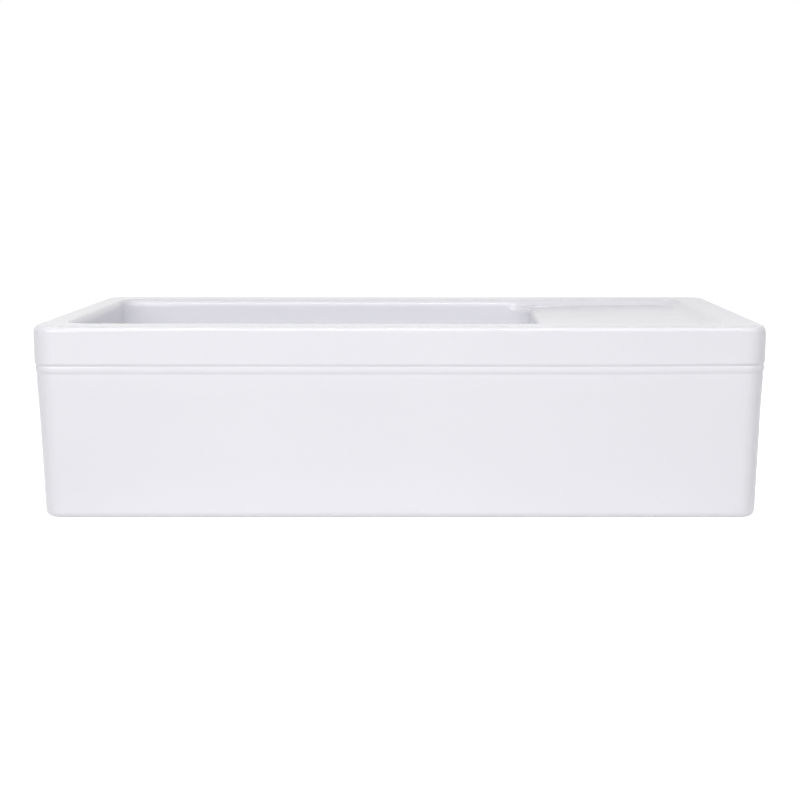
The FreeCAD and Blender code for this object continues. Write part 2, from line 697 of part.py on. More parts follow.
def make_stopper_disc():
    """The rubber disc that closes the drain."""
    body = at_drain(new_body("stopper_disc"))
    revolve(body, "disc", [
        ("dims.post_radius", STOPPER_FOOT),
        ("%s - dims.stopper_bevel" % STOPPER_RADIUS, STOPPER_FOOT),
        (STOPPER_RADIUS, "%s + dims.stopper_bevel" % STOPPER_FOOT),
        (STOPPER_RADIUS, PLATE_FOOT),
        ("dims.post_radius", PLATE_FOOT),
    ])
    return body


def make_stopper_post():
    """The post from the nut under the disc to the knob, with a shoulder on the plate."""
    body = at_drain(new_body("stopper_post"))
    shoulder_top = "%s + dims.post_shoulder_height" % PLATE_TOP
    foot = "%s - dims.post_tail" % NUT_FOOT
    top = "%s + dims.knob_socket" % KNOB_FOOT
    revolve(body, "post", [
        ("0", foot),
        ("dims.post_radius", foot),
        ("dims.post_radius", PLATE_TOP),
        ("dims.post_shoulder_radius", PLATE_TOP),
        ("dims.post_shoulder_radius", shoulder_top),
        ("dims.post_radius", shoulder_top),
        ("dims.post_radius", top),
        ("0", top),
    ])
    return body


def make_post_nut():
    """The hexagon nut that holds disc and plate on the post."""
    body = at_drain(new_body("post_nut"))
    corners = [("dims.nut_radius", "0")]
    for angle in (60, 120):
        corners.append(("dims.nut_radius * cos(%d deg)" % angle, "dims.nut_radius * sin(%d deg)" % angle))
    corners.append(("-dims.nut_radius", "0"))
    for angle in (240, 300):
        corners.append(("dims.nut_radius * cos(%d deg)" % angle, "dims.nut_radius * sin(%d deg)" % angle))
    section = outline(body, "hexagon", corners, "XY_Plane", NUT_FOOT)
    nut = body.newObject("PartDesign::Pad", "nut")
    nut.Profile = section
    nut.setExpression("Length", "dims.nut_height")
    doc.recompute()
    below = "%s - %g" % (NUT_FOOT, CUT_PAST)
    above = "%s + %g" % (STOPPER_FOOT, CUT_PAST)
    groove(body, "thread", [
        ("0", below),
        ("dims.post_radius", below),
        ("dims.post_radius", above),
        ("0", above),
    ])
    return body


def make_knob():
    """The knob on top of the post."""
    body = at_drain(new_body("knob"))
    socket_top = "%s + dims.knob_socket" % KNOB_FOOT
    points = [
        ("dims.post_radius", KNOB_FOOT),
        ("dims.knob_neck_radius", KNOB_FOOT),
        ("dims.knob_neck_radius", "%s + %g * dims.knob_height" % (KNOB_FOOT, KNOB_NECK)),
    ]
    for across, up in KNOB_FORM:
        points.append(("%g * dims.knob_radius" % across, "%s + %g * dims.knob_height" % (KNOB_FOOT, up)))
    points.append(("0", KNOB_TOP))
    points.append(("0", socket_top))
    points.append(("dims.post_radius", socket_top))
    revolve(body, "knob_form", points)
    return body


def check_document():
    """Stop if any object of the document has failed."""
    doc.recompute()
    for item in doc.Objects:
        if "Invalid" in item.State or "Error" in item.State:
            raise RuntimeError("%s is %s" % (item.Name, item.State))


def check_piece(piece):
    """Stop if a piece has no sound solid."""
    if piece.Shape.isNull() or not piece.Shape.isValid() or not piece.Shape.Solids:
        raise RuntimeError("%s has no valid solid" % piece.Label)


pieces = [
    make_sink_body(),
    make_strainer_body(),
    make_ring("flange_seal", THREAD_BORE, "%s + dims.seal_width" % THREAD_BORE,
              FLANGE_SEAT, FLANGE_UNDERSIDE),
    make_ring("floor_gasket", THREAD_BORE, "%s + dims.gasket_width" % THREAD_BORE,
              GASKET_FOOT, FLOOR_UNDERSIDE),
    make_ring("friction_washer", THREAD_BORE, WASHER_RADIUS, WASHER_FOOT, GASKET_FOOT),
    make_locknut(),
    make_basket_cup(),
    make_basket_bush(),
    make_grip_ring(),
    make_stopper_disc(),
    make_ring("stopper_plate", "dims.post_radius", "%s - dims.plate_inset" % STOPPER_RADIUS,
              PLATE_FOOT, PLATE_TOP),
    make_stopper_post(),
    make_post_nut(),
    make_knob(),
]
check_document()
os.makedirs("parts", exist_ok=True)
for piece in pieces:
    check_piece(piece)
for piece in pieces:
    piece.Shape.exportStep("parts/%s.step" % piece.Label)
    box = piece.Shape.BoundBox
    print("%-16s %9.0f mm3   X %.1f to %.1f   Y %.1f to %.1f   Z %.1f to %.1f" % (
        piece.Label, piece.Shape.Volume, box.XMin, box.XMax, box.YMin, box.YMax, box.ZMin, box.ZMax))
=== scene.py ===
# %% [markdown]
# # A farmhouse apron front sink in glazed fireclay
# The sink is one heavy casting: a bowl, a drainboard beside it and an apron in front, all under
# one skin of white glaze. Everything metal is in the drain: a basket strainer clamped through
# the floor of the bowl. The CAD model already has each piece at its real size. Here the casting
# gets the soft, poured shape that clay takes, and every piece gets its finish.
#
# Lengths are written in millimetres, as a potter's drawing would have them, and they are turned
# into metres where a mesh is made. Lamps, floor and materials are in metres, as Blender is.

import math

import bpy
import numpy as np
from mathutils import Euler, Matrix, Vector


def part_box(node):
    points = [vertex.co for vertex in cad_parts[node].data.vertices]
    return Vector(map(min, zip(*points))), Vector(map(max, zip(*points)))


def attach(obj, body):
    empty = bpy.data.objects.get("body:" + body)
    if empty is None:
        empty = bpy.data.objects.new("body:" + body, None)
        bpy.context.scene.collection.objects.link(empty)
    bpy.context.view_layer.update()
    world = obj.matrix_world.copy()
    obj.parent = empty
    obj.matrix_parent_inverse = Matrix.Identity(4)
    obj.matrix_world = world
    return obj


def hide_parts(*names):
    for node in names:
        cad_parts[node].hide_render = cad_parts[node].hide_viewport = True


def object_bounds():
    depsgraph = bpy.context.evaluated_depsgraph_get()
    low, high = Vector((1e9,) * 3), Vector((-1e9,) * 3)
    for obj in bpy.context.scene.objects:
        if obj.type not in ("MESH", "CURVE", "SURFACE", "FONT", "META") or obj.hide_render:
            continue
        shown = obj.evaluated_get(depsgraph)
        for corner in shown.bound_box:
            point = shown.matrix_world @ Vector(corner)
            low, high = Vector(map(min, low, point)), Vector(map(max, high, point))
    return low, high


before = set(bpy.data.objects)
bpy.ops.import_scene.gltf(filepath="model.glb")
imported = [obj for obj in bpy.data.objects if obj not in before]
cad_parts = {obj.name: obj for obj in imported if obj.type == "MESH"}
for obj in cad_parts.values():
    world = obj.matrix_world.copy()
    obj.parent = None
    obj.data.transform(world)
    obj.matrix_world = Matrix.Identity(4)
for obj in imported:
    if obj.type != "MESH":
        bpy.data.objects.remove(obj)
cad_low, cad_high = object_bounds()
MM = 0.001

# %% [markdown]
# ## The camera
# A product photograph of a long sink is taken from far off with a longish lens, so that the
# apron's top and bottom stay almost parallel. The place was worked out from the outline of the
# sink in the photograph: the camera stands a little to the right of the middle and looks down
# by under nine degrees. A camera could be turned towards the sink's middle instead, but then the
# apron's lines would run together at one end. So the frame is shifted sideways.

# %% Place the camera
# in pixels of the photograph's frame
FRAME_PIXELS = 800
FOCAL_PIXELS = 1433.22
CENTRE_PIXEL = 435.0
# in millimetres: the sensor's width, and how far the camera is from the apron's foot
SENSOR = 36.0
CAMERA_RIGHT = 42.07
CAMERA_AWAY = 1923.23
CAMERA_UP = 460.98
# in degrees
LOOKS_DOWN = 8.7073
TURNS_LEFT = -0.1712
LEANS = 0.0464
# in metres
FARTHEST_SEEN = 30.0

camera_data = bpy.data.cameras.new("camera")
camera_data.sensor_width = SENSOR
camera_data.lens = SENSOR * FOCAL_PIXELS / FRAME_PIXELS
camera_data.shift_x = (FRAME_PIXELS / 2 - CENTRE_PIXEL) / FRAME_PIXELS
camera_data.clip_end = FARTHEST_SEEN
camera = bpy.data.objects.new("camera", camera_data)
front_of_apron = cad_low.y
camera.location = (CAMERA_RIGHT * MM, front_of_apron - CAMERA_AWAY * MM, CAMERA_UP * MM)
turn = Euler((math.radians(90 - LOOKS_DOWN), 0, math.radians(TURNS_LEFT)), "XYZ").to_matrix()
lean = Euler((0, 0, math.radians(LEANS)), "XYZ").to_matrix()
camera.rotation_euler = (turn @ lean).to_euler("XYZ")
bpy.context.collection.objects.link(camera)
bpy.context.scene.camera = camera
print("lens %.1f mm, %.2f m in front of the apron" % (camera_data.lens, CAMERA_AWAY * MM))

# %% [markdown]
# ## How the casting is described
# A sink is a closed skin that runs all the way round: up the outside, over the rim, down into
# the bowl, through the drain hole and back along the underside. So one family of level loops
# can describe all of it. Each loop is a rounded rectangle, and each point of it is a fixed mix
# of the loop's few sizes. Stacking loops from section to section gives a grid that closes on
# itself both ways, like the skin of a ring, with no seam and no pole. A block with the bowl cut
# out by a boolean has the same shape, but its long thin faces would show in the gloss.

# %% Points along the parts of a loop
# how many points a side, a corner, the front up to the drainboard, the front along the
# drainboard, and its far end have
SIDE, CORNER, ALONG, BOARD, END = 22, 18, 56, 44, 44


def steps(count):
    """Evenly spaced shares from 0 up to, but without, 1."""
    return np.arange(count) / count


def mix(left=0, right=0, half=0, left_radius=0, right_radius=0, break_x=0):
    """One part of a loop: how much of each size goes into a coordinate, point by point."""
    return np.stack(np.broadcast_arrays(left, right, half, left_radius, right_radius, break_x), 1)


print("points on the apron's side of a loop:", ALONG + BOARD)

# %% [markdown]
# ## Two kinds of loop
# A wide loop goes round bowl and drainboard together. A bowl loop goes round the bowl alone.
# They share their points on the left, and on the right the wide loop's points by the drainboard
# close in on the bowl loop's right end, so the grid between the two is the drainboard's floor.
# Loops with different numbers of points could be bridged by triangles, but equal ones need no
# bridge, and a smooth surface runs from one kind to the other.

# %% Loops as mixes of their sizes
def loop_mixes(bowl_only):
    """The two tables that turn a loop's sizes into its points, counter-clockwise from above.

    X and Y of every point are sums of size times share. On a corner the shares are the cosine
    and sine of the angle, and on a side they run evenly from one corner to the next.
    """
    s = steps(SIDE)
    a = steps(ALONG)
    e = steps(END)
    c = steps(CORNER) * math.pi / 2
    b = steps(BOARD)
    xs, ys = [], []
    # left side, from the back to the front, and the corner at its foot
    xs.append(mix(left=-np.ones(SIDE)))
    ys.append(mix(half=1 - 2 * s, left_radius=-(1 - 2 * s)))
    xs.append(mix(left=-1, left_radius=1 - np.cos(c)))
    ys.append(mix(half=-1, left_radius=1 - np.sin(c)))
    if bowl_only:
        # the front to the right corner, that corner, the right side and the corner behind it
        xs.append(mix(left=-(1 - a), left_radius=1 - a, right=a, right_radius=-a))
        ys.append(mix(half=-np.ones(ALONG)))
        turn_angle = b * math.pi / 2
        xs.append(mix(right=1, right_radius=np.sin(turn_angle) - 1))
        ys.append(mix(half=-1, right_radius=1 - np.cos(turn_angle)))
        r = steps(CORNER + END + CORNER)
        xs.append(mix(right=np.ones(len(r))))
        ys.append(mix(half=2 * r - 1, right_radius=1 - 2 * r))
        xs.append(mix(right=1, right_radius=np.cos(turn_angle) - 1))
        ys.append(mix(half=1, right_radius=np.sin(turn_angle) - 1))
        xs.append(mix(right=1 - a, right_radius=-(1 - a), left=-a, left_radius=a))
        ys.append(mix(half=np.ones(ALONG)))
    else:
        # the front in two stretches, which meet at the break, then the same parts as above
        xs.append(mix(left=-(1 - a), left_radius=1 - a, break_x=a))
        ys.append(mix(half=-np.ones(ALONG)))
        xs.append(mix(break_x=1 - b, right=b, right_radius=-b))
        ys.append(mix(half=-np.ones(BOARD)))
        xs.append(mix(right=1, right_radius=np.sin(c) - 1))
        ys.append(mix(half=-1, right_radius=1 - np.cos(c)))
        xs.append(mix(right=np.ones(END)))
        ys.append(mix(half=2 * e - 1, right_radius=1 - 2 * e))
        xs.append(mix(right=1, right_radius=np.cos(c) - 1))
        ys.append(mix(half=1, right_radius=np.sin(c) - 1))
        xs.append(mix(right=1 - b, right_radius=-(1 - b), break_x=b))
        ys.append(mix(half=np.ones(BOARD)))
        xs.append(mix(break_x=1 - a, left=-a, left_radius=a))
        ys.append(mix(half=np.ones(ALONG)))
    # the corner at the back of the left side
    xs.append(mix(left=-1, left_radius=1 - np.sin(c)))
    ys.append(mix(half=1, left_radius=np.cos(c) - 1))
    return np.concatenate(xs), np.concatenate(ys)


WIDE, BOWL = loop_mixes(False), loop_mixes(True)
POINTS = len(WIDE[0])
print("points in a loop:", POINTS, "same in both kinds:", len(BOWL[0]) == POINTS)

# %% [markdown]
# ## Many loops at once
# Every part of the sink is a stack of loops, so its section is a few lists of numbers: how far
# in, how high, how round. Multiplying these lists by the tables gives all points of a stack in
# one step. Two shapes come back everywhere in clay, so they have a helper each: the smooth step
# and the quarter round.

# %% Loops, steps and rounds
def loops(kind, left, right, half, left_radius, right_radius, level, break_x=0.0):
    """Level loops as an array of loops by points by XYZ. Each size is a number or one per loop."""
    sizes = np.broadcast_arrays(*[np.atleast_1d(np.asarray(v, float)) for v in (
        left, right, half, left_radius, right_radius, break_x)])
    sizes = np.stack(sizes, 1)
    x = sizes @ kind[0].T
    y = sizes @ kind[1].T
    level = np.asarray(level, float)
    z = np.broadcast_to(level if level.ndim == 2 else np.atleast_1d(level)[:, None], x.shape)
    return np.stack([x, y, z], 2)


def smooth(x, start, end):
    """0 before start, 1 after end, and a smooth cubic step between them."""
    t = np.clip((x - start) / (end - start), 0, 1)
    return t * t * (3 - 2 * t)


def ease(count, radius):
    """A quarter round in even angles: the run along and the rise, both from 0 to the radius."""
    angle = np.linspace(0, math.pi / 2, count)
    return radius * np.sin(angle), radius * (1 - np.cos(angle))


print("half way up a smooth step:", smooth(0.5, 0.0, 1.0))

# %% [markdown]
# ## The sizes of the casting
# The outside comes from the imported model's own box, and the drain's place from the strainer's.
# The levels are those of the CAD source. The rounds of the rim, the bowl's left wall and its
# right end follow the photograph, which shows the bowl longer and its edges crisper than the
# solids have them. Most other sizes hang on these, so a change of one moves them too.

# %% Sizes
body_low, body_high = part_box("sink_body")
LENGTH_HALF = body_high[0] / MM
WIDTH_HALF = body_high[1] / MM
HEIGHT = body_high[2] / MM

# the rim's inner edge, its fall towards it, and the rounds by which it rolls in
EDGE_LEFT = 469.0
EDGE_RIGHT = 454.0
EDGE_HALF = 206.0
RIM_FALL = 0.4
RIM_ROUND = 12.0
LEFT_ROUND = 8.0
LIP_ROUND = 9.0
BOARD_STEP = 20.0
# the bowl's walls, and the corners seen from above
BOWL_LEFT = EDGE_LEFT - LEFT_ROUND
BOWL_HALF = EDGE_HALF - RIM_ROUND
BOWL_RIGHT = 202.0
LEFT_CORNER = 28.0
BOWL_CORNER = 38.0
BOARD_CORNER = 34.0
# levels
RIM_LEVEL = HEIGHT - RIM_FALL
BOARD_LEVEL = HEIGHT - 9.0
BOARD_EDGE = HEIGHT - 12.0
DRAIN_LEVEL = HEIGHT - 203.0
# where the drain is, and where a wide loop passes from the bowl to the drainboard
drain_low, drain_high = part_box("strainer_body")
DRAIN_X = (drain_low.x + drain_high.x) / 2 / MM
BREAK_X = BOWL_RIGHT + LIP_ROUND / 2 - BOWL_CORNER
print("casting %.0f x %.0f x %.0f mm, drain at X %.1f" % (
    2 * LENGTH_HALF, 2 * WIDTH_HALF, HEIGHT, DRAIN_X))

# %% [markdown]
# ## The outside: foot, apron, moulding and rim
# The apron has a plain lip at the top, then two thin lines with a flat band between them, and
# below them a shallow hollow that runs out into the face. A mould leaves no sharp edge, and the
# glaze fills what is left, so each line is a small step whose corners are rounded away. Lines
# this fine could be a bump in the material, but then the outline of the sink would be straight
# where the real one bends in a little. So they are in the section: a list of insets from the
# widest outline, one for each level.

# %% The section of the outside
# each line: where its step starts and ends below the rim and its depth, then the furrow at the
# foot of the step: its middle, depth and width
FIRST_LINE = (50.2, 56.0, 1.0), (54.0, 0.75, 1.8)
SECOND_LINE = (59.8, 67.2, 1.1), (65.0, 0.35, 2.2)
# where the hollow and the taper start and end below the rim, and how deep they are
HOLLOW_START, HOLLOW_END, HOLLOW_DEPTH = 69.0, 132.0, 2.2
TAPER_START, TAPER_END, TAPER_DEPTH = 128.0, 256.0, 3.3


def moulded_line(drop, step, furrow):
    """One line: depth times a smooth step, and furrow depth times exp(-t^2) at its foot."""
    start, end, depth = step
    middle, furrow_depth, width = furrow
    return depth * smooth(drop, start, end) + furrow_depth * np.exp(-((drop - middle) / width) ** 2)


def outside_inset(level):
    """How far the outside lies inside its widest outline at a level.

    It is the sum of the two lines of the moulding, a smooth step for the hollow below them, and
    a straight taper down to the foot.
    """
    drop = HEIGHT - level
    lines = moulded_line(drop, *FIRST_LINE) + moulded_line(drop, *SECOND_LINE)
    hollow = HOLLOW_DEPTH * smooth(drop, HOLLOW_START, HOLLOW_END)
    taper = TAPER_DEPTH * np.clip((drop - TAPER_START) / (TAPER_END - TAPER_START), 0, 1)
    return lines + hollow + taper


print("insets at the rim and below the lines: %.2f and %.2f mm" % (
    outside_inset(HEIGHT), outside_inset(HEIGHT - SECOND_LINE[0][1])))

# %% [markdown]
# ## Loops up the outside
# Loops lie close together along the moulding, where the section bends, and far apart on the
# plain face. The round at the top is higher at the sink's two ends than at its front and back,
# so the insets of ends and front are two lists. A bevel modifier would give one round all the
# way. Two more loops hold the rim's flat level beside the round.

# %% Outside loops
# the rounds at the foot, at the top of front and back, and at the top of the ends, where the
# round is higher than it is wide
FOOT_ROUND = 9.0
TOP_ROUND = 8.0
SIDE_ROUND = 14.0
SIDE_ROUND_WIDTH = 6.5
OUTER_CORNER = 33.0
RIM_FLAT = WIDTH_HALF - TOP_ROUND - EDGE_HALF
# the levels between which loops lie close, closest along the lines
PLAIN_TOP, LINES_FOOT, LINES_TOP = 160.0, 198.0, 217.0
FOOT_STEPS, TOP_STEPS = 10, 24
RIM_SUPPORTS = 0.7, 2.5


def outside_levels():
    """The levels of the outside between its two rounds, close together along the moulding."""
    return np.concatenate([
        np.linspace(FOOT_ROUND, PLAIN_TOP, 16)[:-1],
        np.linspace(PLAIN_TOP, LINES_FOOT, 12)[:-1],
        np.linspace(LINES_FOOT, LINES_TOP, 44)[:-1],
        np.linspace(LINES_TOP, HEIGHT - SIDE_ROUND, 8),
    ])


def round_inset(level, radius):
    """How far a quarter round at the top edge has run in at a level: r - sqrt(r^2 - up^2)."""
    up = np.clip(level - (HEIGHT - radius), 0, radius)
    return radius - np.sqrt(radius ** 2 - up ** 2)


def outside_loops():
    """The foot's round, the apron and the rim's round, from the base up to the flat of the rim."""
    run, rise = ease(FOOT_STEPS, FOOT_ROUND)
    foot_inset = outside_inset(FOOT_ROUND) + FOOT_ROUND - run[:-1]
    angle = np.linspace(0, math.pi / 2, TOP_STEPS)[1:]
    level = np.concatenate([outside_levels(), HEIGHT - SIDE_ROUND * (1 - np.sin(angle))])
    inset = outside_inset(level)
    flat = np.array(RIM_SUPPORTS)
    front = np.concatenate([foot_inset, inset + round_inset(level, TOP_ROUND), TOP_ROUND + flat])
    flatter = SIDE_ROUND_WIDTH / SIDE_ROUND
    ends = np.concatenate([foot_inset, inset + round_inset(level, SIDE_ROUND) * flatter,
                           SIDE_ROUND_WIDTH + flat])
    level = np.concatenate([rise[:-1], level, HEIGHT - RIM_FALL * flat / RIM_FLAT])
    corner = OUTER_CORNER - front
    return loops(WIDE, LENGTH_HALF - ends, LENGTH_HALF - ends, WIDTH_HALF - front,
                 corner, corner, level, BREAK_X)


outside = outside_loops()
print("outside:", outside.shape[0], "loops, foot inset %.1f mm" % outside_inset(FOOT_ROUND))

# %% [markdown]
# ## The rim and the mouth
# The rim is flat on top and rolls over into the sink. Where it meets the bowl, it rolls on into
# the upright wall. Where it meets the drainboard, it is only a soft step of nine millimetres. So
# there are two sections, and a weight for each point of the loop says how much of each it takes.
# Two separate strips would need a seam where they meet, just where the light is brightest.

# %% The step from the rim into the mouth
# over this distance the rim's section turns into the drainboard's
BOARD_EASE = 46.0
STEP_LOOPS = 16
STEP_FOOT = HEIGHT - 10.0
# how much tighter the drainboard's corners get for each millimetre inwards
CORNER_EASE = 0.4
# the loops on the rim's flat, as distances inside its inner edge
RIM_LOOPS_AT = -18.0, -3.0, -0.6, 0.0
front_x = loops(WIDE, EDGE_LEFT, EDGE_RIGHT, EDGE_HALF, LEFT_CORNER + RIM_ROUND,
                BOARD_CORNER, 0.0, BREAK_X)[0, :, 0]
BOARD_SHARE = smooth(front_x, BREAK_X, BREAK_X + BOARD_EASE)


def edge_loops_at(step_in, level):
    """Wide loops at distances inside the rim's inner edge, or outside it where negative."""
    inside = np.maximum(step_in, 0)
    return loops(WIDE, EDGE_LEFT - step_in * LEFT_ROUND / RIM_ROUND, EDGE_RIGHT - step_in,
                 EDGE_HALF - step_in, LEFT_CORNER + RIM_ROUND - inside,
                 BOARD_CORNER + CORNER_EASE * (BOARD_STEP - inside), level, BREAK_X)


def mouth_loops():
    """The flat of the rim and the step down from it, for bowl and drainboard together."""
    on_rim = np.array(RIM_LOOPS_AT)
    rim = edge_loops_at(on_rim, RIM_LEVEL - RIM_FALL * on_rim / RIM_FLAT)
    # by the bowl: the upper part of a large quarter round, down to the level of the drainboard
    last_angle = math.acos(1 - (RIM_LEVEL - STEP_FOOT) / RIM_ROUND)
    angle = np.linspace(0, last_angle, STEP_LOOPS)
    bowl_side = edge_loops_at(RIM_ROUND * np.sin(angle),
                              RIM_LEVEL - RIM_ROUND * (1 - np.cos(angle)))
    # by the drainboard: a smooth step
    t = np.linspace(0, 1, STEP_LOOPS)
    board_side = edge_loops_at(BOARD_STEP * t,
                               RIM_LEVEL - (RIM_LEVEL - BOARD_LEVEL) * smooth(t, 0.0, 1.0))
    share = BOARD_SHARE[None, :, None]
    step = bowl_side * (1 - share) + board_side * share
    return np.concatenate([rim, step[1:]])


mouth = mouth_loops()
print("mouth:", mouth.shape[0], "loops")

# %% [markdown]
# ## The drainboard and the edge over the bowl
# The drainboard falls by three millimetres towards the bowl and ends in a round edge. Its grid
# runs from the foot of the step to that edge. Along the bowl's own walls the same loops carry
# the rim's round on, down into the wall. The drainboard could be a flat plate set into the rim,
# but on the real sink the floor flows out of the step, and a plate's edge would show as a line.

# %% Drainboard and round edge
BOARD_LOOPS = 26
EDGE_LOOPS = 14
EDGE_FOOT = BOARD_EDGE - LIP_ROUND
BOARD_END = EDGE_RIGHT - BOARD_STEP - BOARD_CORNER
# after this share of the way to the bowl, the floor's level is wholly that of its own fall
FALL_WHOLE = 0.8
# how much rounder the opening's corners get for each millimetre outwards
CORNER_GAIN = 0.5


def board_level(x):
    """The drainboard's level at X: a straight fall from its far end to the bowl's edge."""
    start = BOWL_RIGHT + LIP_ROUND
    share = np.clip((x - start) / (BOARD_END - start), 0, 1)
    return BOARD_EDGE + (BOARD_LEVEL - BOARD_EDGE) * share


def opening_loops(level):
    """The bowl's opening at levels from its edge down: rounded over the rim and over the lip."""
    up_rim = np.clip(level - (RIM_LEVEL - RIM_ROUND), 0, RIM_ROUND)
    up_lip = np.clip(level - EDGE_FOOT, 0, LIP_ROUND)
    rim_out = RIM_ROUND - np.sqrt(RIM_ROUND ** 2 - up_rim ** 2)
    lip_out = LIP_ROUND - np.sqrt(LIP_ROUND ** 2 - up_lip ** 2)
    left = BOWL_LEFT + rim_out * LEFT_ROUND / RIM_ROUND
    return loops(BOWL, left, BOWL_RIGHT + lip_out, BOWL_HALF + rim_out,
                 LEFT_CORNER + rim_out, BOWL_CORNER + CORNER_GAIN * (rim_out + lip_out), level)


def board_loops():
    """Straight lines from each point of the mouth's foot to its partner on the bowl's edge."""
    edge = opening_loops(np.array([BOARD_EDGE]))
    foot = mouth[-1:]
    t = np.linspace(0, 1, BOARD_LOOPS)[1:, None, None]
    grid = foot * (1 - t) + edge * t
    ahead = smooth(t[:, :, 0], 0.0, FALL_WHOLE)
    on_floor = foot[:, :, 2] * (1 - ahead) + board_level(grid[:, :, 0]) * ahead
    grid[:, :, 2] = grid[:, :, 2] * (1 - BOARD_SHARE) + on_floor * BOARD_SHARE
    return grid


def edge_loops():
    """The quarter round over the bowl, which the round of the rim joins on the other sides."""
    run, rise = ease(EDGE_LOOPS, LIP_ROUND)
    return opening_loops(BOARD_EDGE - rise[1:])


board, edge = board_loops(), edge_loops()
print("drainboard and edge:", len(board), len(edge), "loops")

# %% [markdown]
# ## The bowl
# The bowl's walls lean in by six millimetres, because a mould has to come out of it, and turn
# into the floor in a large round that a cloth can follow. Its upright corners get tighter as
# they go down. An extruded outline would have upright walls and one radius, so the stack of
# loops goes on, with one list for the inset and one for the corners.

# %% Bowl
BOWL_DRAFT = 6.0
FLOOR_ROUND = 24.0
FLOOR_FALL = 2.0
FLOOR_LEVEL = DRAIN_LEVEL + FLOOR_FALL
WALL_LOOPS, ROUND_LOOPS = 14, 14
# how much tighter the corners get for each millimetre that wall and foot come in
WALL_TIGHTENS, FOOT_TIGHTENS = 0.3, 0.55


def bowl_loops():
    """The bowl's walls, which lean in by the draft, and the quarter round into the floor."""
    wall_foot = FLOOR_LEVEL + FLOOR_ROUND
    t = np.linspace(0, 1, WALL_LOOPS)[1:]
    wall_inset = BOWL_DRAFT * t
    wall_level = EDGE_FOOT + (wall_foot - EDGE_FOOT) * t
    run, rise = ease(ROUND_LOOPS, FLOOR_ROUND)
    inset = np.concatenate([wall_inset, BOWL_DRAFT + rise[1:]])
    level = np.concatenate([wall_level, wall_foot - run[1:]])
    tighter = np.concatenate([WALL_TIGHTENS * wall_inset,
                              WALL_TIGHTENS * BOWL_DRAFT + FOOT_TIGHTENS * rise[1:]])
    return loops(BOWL, BOWL_LEFT - inset, BOWL_RIGHT - inset, BOWL_HALF - inset,
                 LEFT_CORNER - tighter, BOWL_CORNER - tighter, level)


bowl = bowl_loops()
print("bowl:", len(bowl), "loops, floor at %.0f mm" % FLOOR_LEVEL)

# %% [markdown]
# ## The floor of the bowl and the drain
# The floor dishes gently to the drain, so the loops turn from rounded rectangles into circles:
# each point slides straight towards the drain's axis. Around the hole a recess takes the
# strainer's flange. A flat floor with a hole cut in it would be quicker, but water would stand
# on it, and its faces would meet the round drain in slivers.

# %% Circles around the drain
RECESS_RADIUS = 58.0
RECESS_ROUND = 2.5
HOLE_RADIUS = 45.0
FLANGE_SEAT = DRAIN_LEVEL - 4.5
UNDERSIDE = DRAIN_LEVEL - 22.0
FLOOR_LOOPS = 26
# a power below 1 crowds the loops at the drain, where the fall is quickest, over this reach
CROWDING = 0.8
DISH_REACH = 70.0
# the corners of seat and hole are broken by this much, and the hole's lower edge by twice that
BROKEN_EDGE = 1.0
HOLE_EDGE = 2 * BROKEN_EDGE
SEAT_CORNER = 0.6


def circles(radius, level, angle):
    """Level circles about the drain's axis, with one point at each given angle."""
    radius = np.atleast_1d(radius)[:, None]
    x = DRAIN_X + radius * np.cos(angle)
    y = radius * np.sin(angle)
    z = np.broadcast_to(np.atleast_1d(level)[:, None], x.shape)
    return np.stack([x, y, z], 2)


def floor_loops(last):
    """From the foot of the bowl's round to the recess for the strainer's flange.

    The level falls as exp(-distance / reach), counted from the recess, so it is quickest close
    to the drain and nothing at the foot of the walls.
    """
    angle = np.arctan2(last[:, 1], last[:, 0] - DRAIN_X)
    reach = np.hypot(last[:, 1], last[:, 0] - DRAIN_X)
    share = np.linspace(0, 1, FLOOR_LOOPS)[1:, None] ** CROWDING
    radius = reach + (RECESS_RADIUS + RECESS_ROUND - reach) * share
    fall = np.exp(-(radius - RECESS_RADIUS) / DISH_REACH)
    far_fall = np.exp(-(reach - RECESS_RADIUS) / DISH_REACH)
    level = last[:, 2] - (FLOOR_LEVEL - DRAIN_LEVEL) * (fall - far_fall) / (1 - far_fall)
    grid = np.stack([DRAIN_X + radius * np.cos(angle), radius * np.sin(angle), level], 2)
    run, rise = ease(6, RECESS_ROUND)
    # the recess's wall, its seat, and the hole down to its lower edge
    recess_radius = np.concatenate([RECESS_RADIUS + RECESS_ROUND - run[1:], [
        RECESS_RADIUS, RECESS_RADIUS - BROKEN_EDGE, HOLE_RADIUS + BROKEN_EDGE,
        HOLE_RADIUS, HOLE_RADIUS]])
    recess_level = np.concatenate([grid[-1, :, 2].mean() - rise[1:], [
        FLANGE_SEAT + SEAT_CORNER, FLANGE_SEAT, FLANGE_SEAT,
        FLANGE_SEAT - BROKEN_EDGE, UNDERSIDE + HOLE_EDGE]])
    return np.concatenate([grid, circles(recess_radius, recess_level, angle)])


floor = floor_loops(bowl[-1])
print("floor and drain:", len(floor), "loops")

# %% [markdown]
# ## The hollow underside
# The underside is hollow, as in every cast sink, because a thick piece of clay cracks in the
# kiln: a deep hollow under the drainboard, a channel along the front and back walls, and the
# block of the bowl between them. At the left the block meets the outer wall, so there is no
# channel. A weight for each point of the loop lets the same rings rise to the deep ceiling or
# stay on the block. A Solidify modifier would need no code, but it can't give a flat block with
# a hollow beside it.

# %% Underside
# the hollow's outline at the foot
HOLLOW_X, HOLLOW_Y, HOLLOW_CORNER = 472.3, 224.8, 22.0
# the block around the bowl: its wall, its lower edge's round and its corner
BLOCK_WALL, BLOCK_ROUND, BLOCK_CORNER = 14.0, 10.0, 16.0
BLOCK_X = BOWL_RIGHT + BLOCK_WALL
BLOCK_Y = BOWL_HALF + BLOCK_WALL
RIM_THICKNESS = 34.0
CEILING = HEIGHT - RIM_THICKNESS
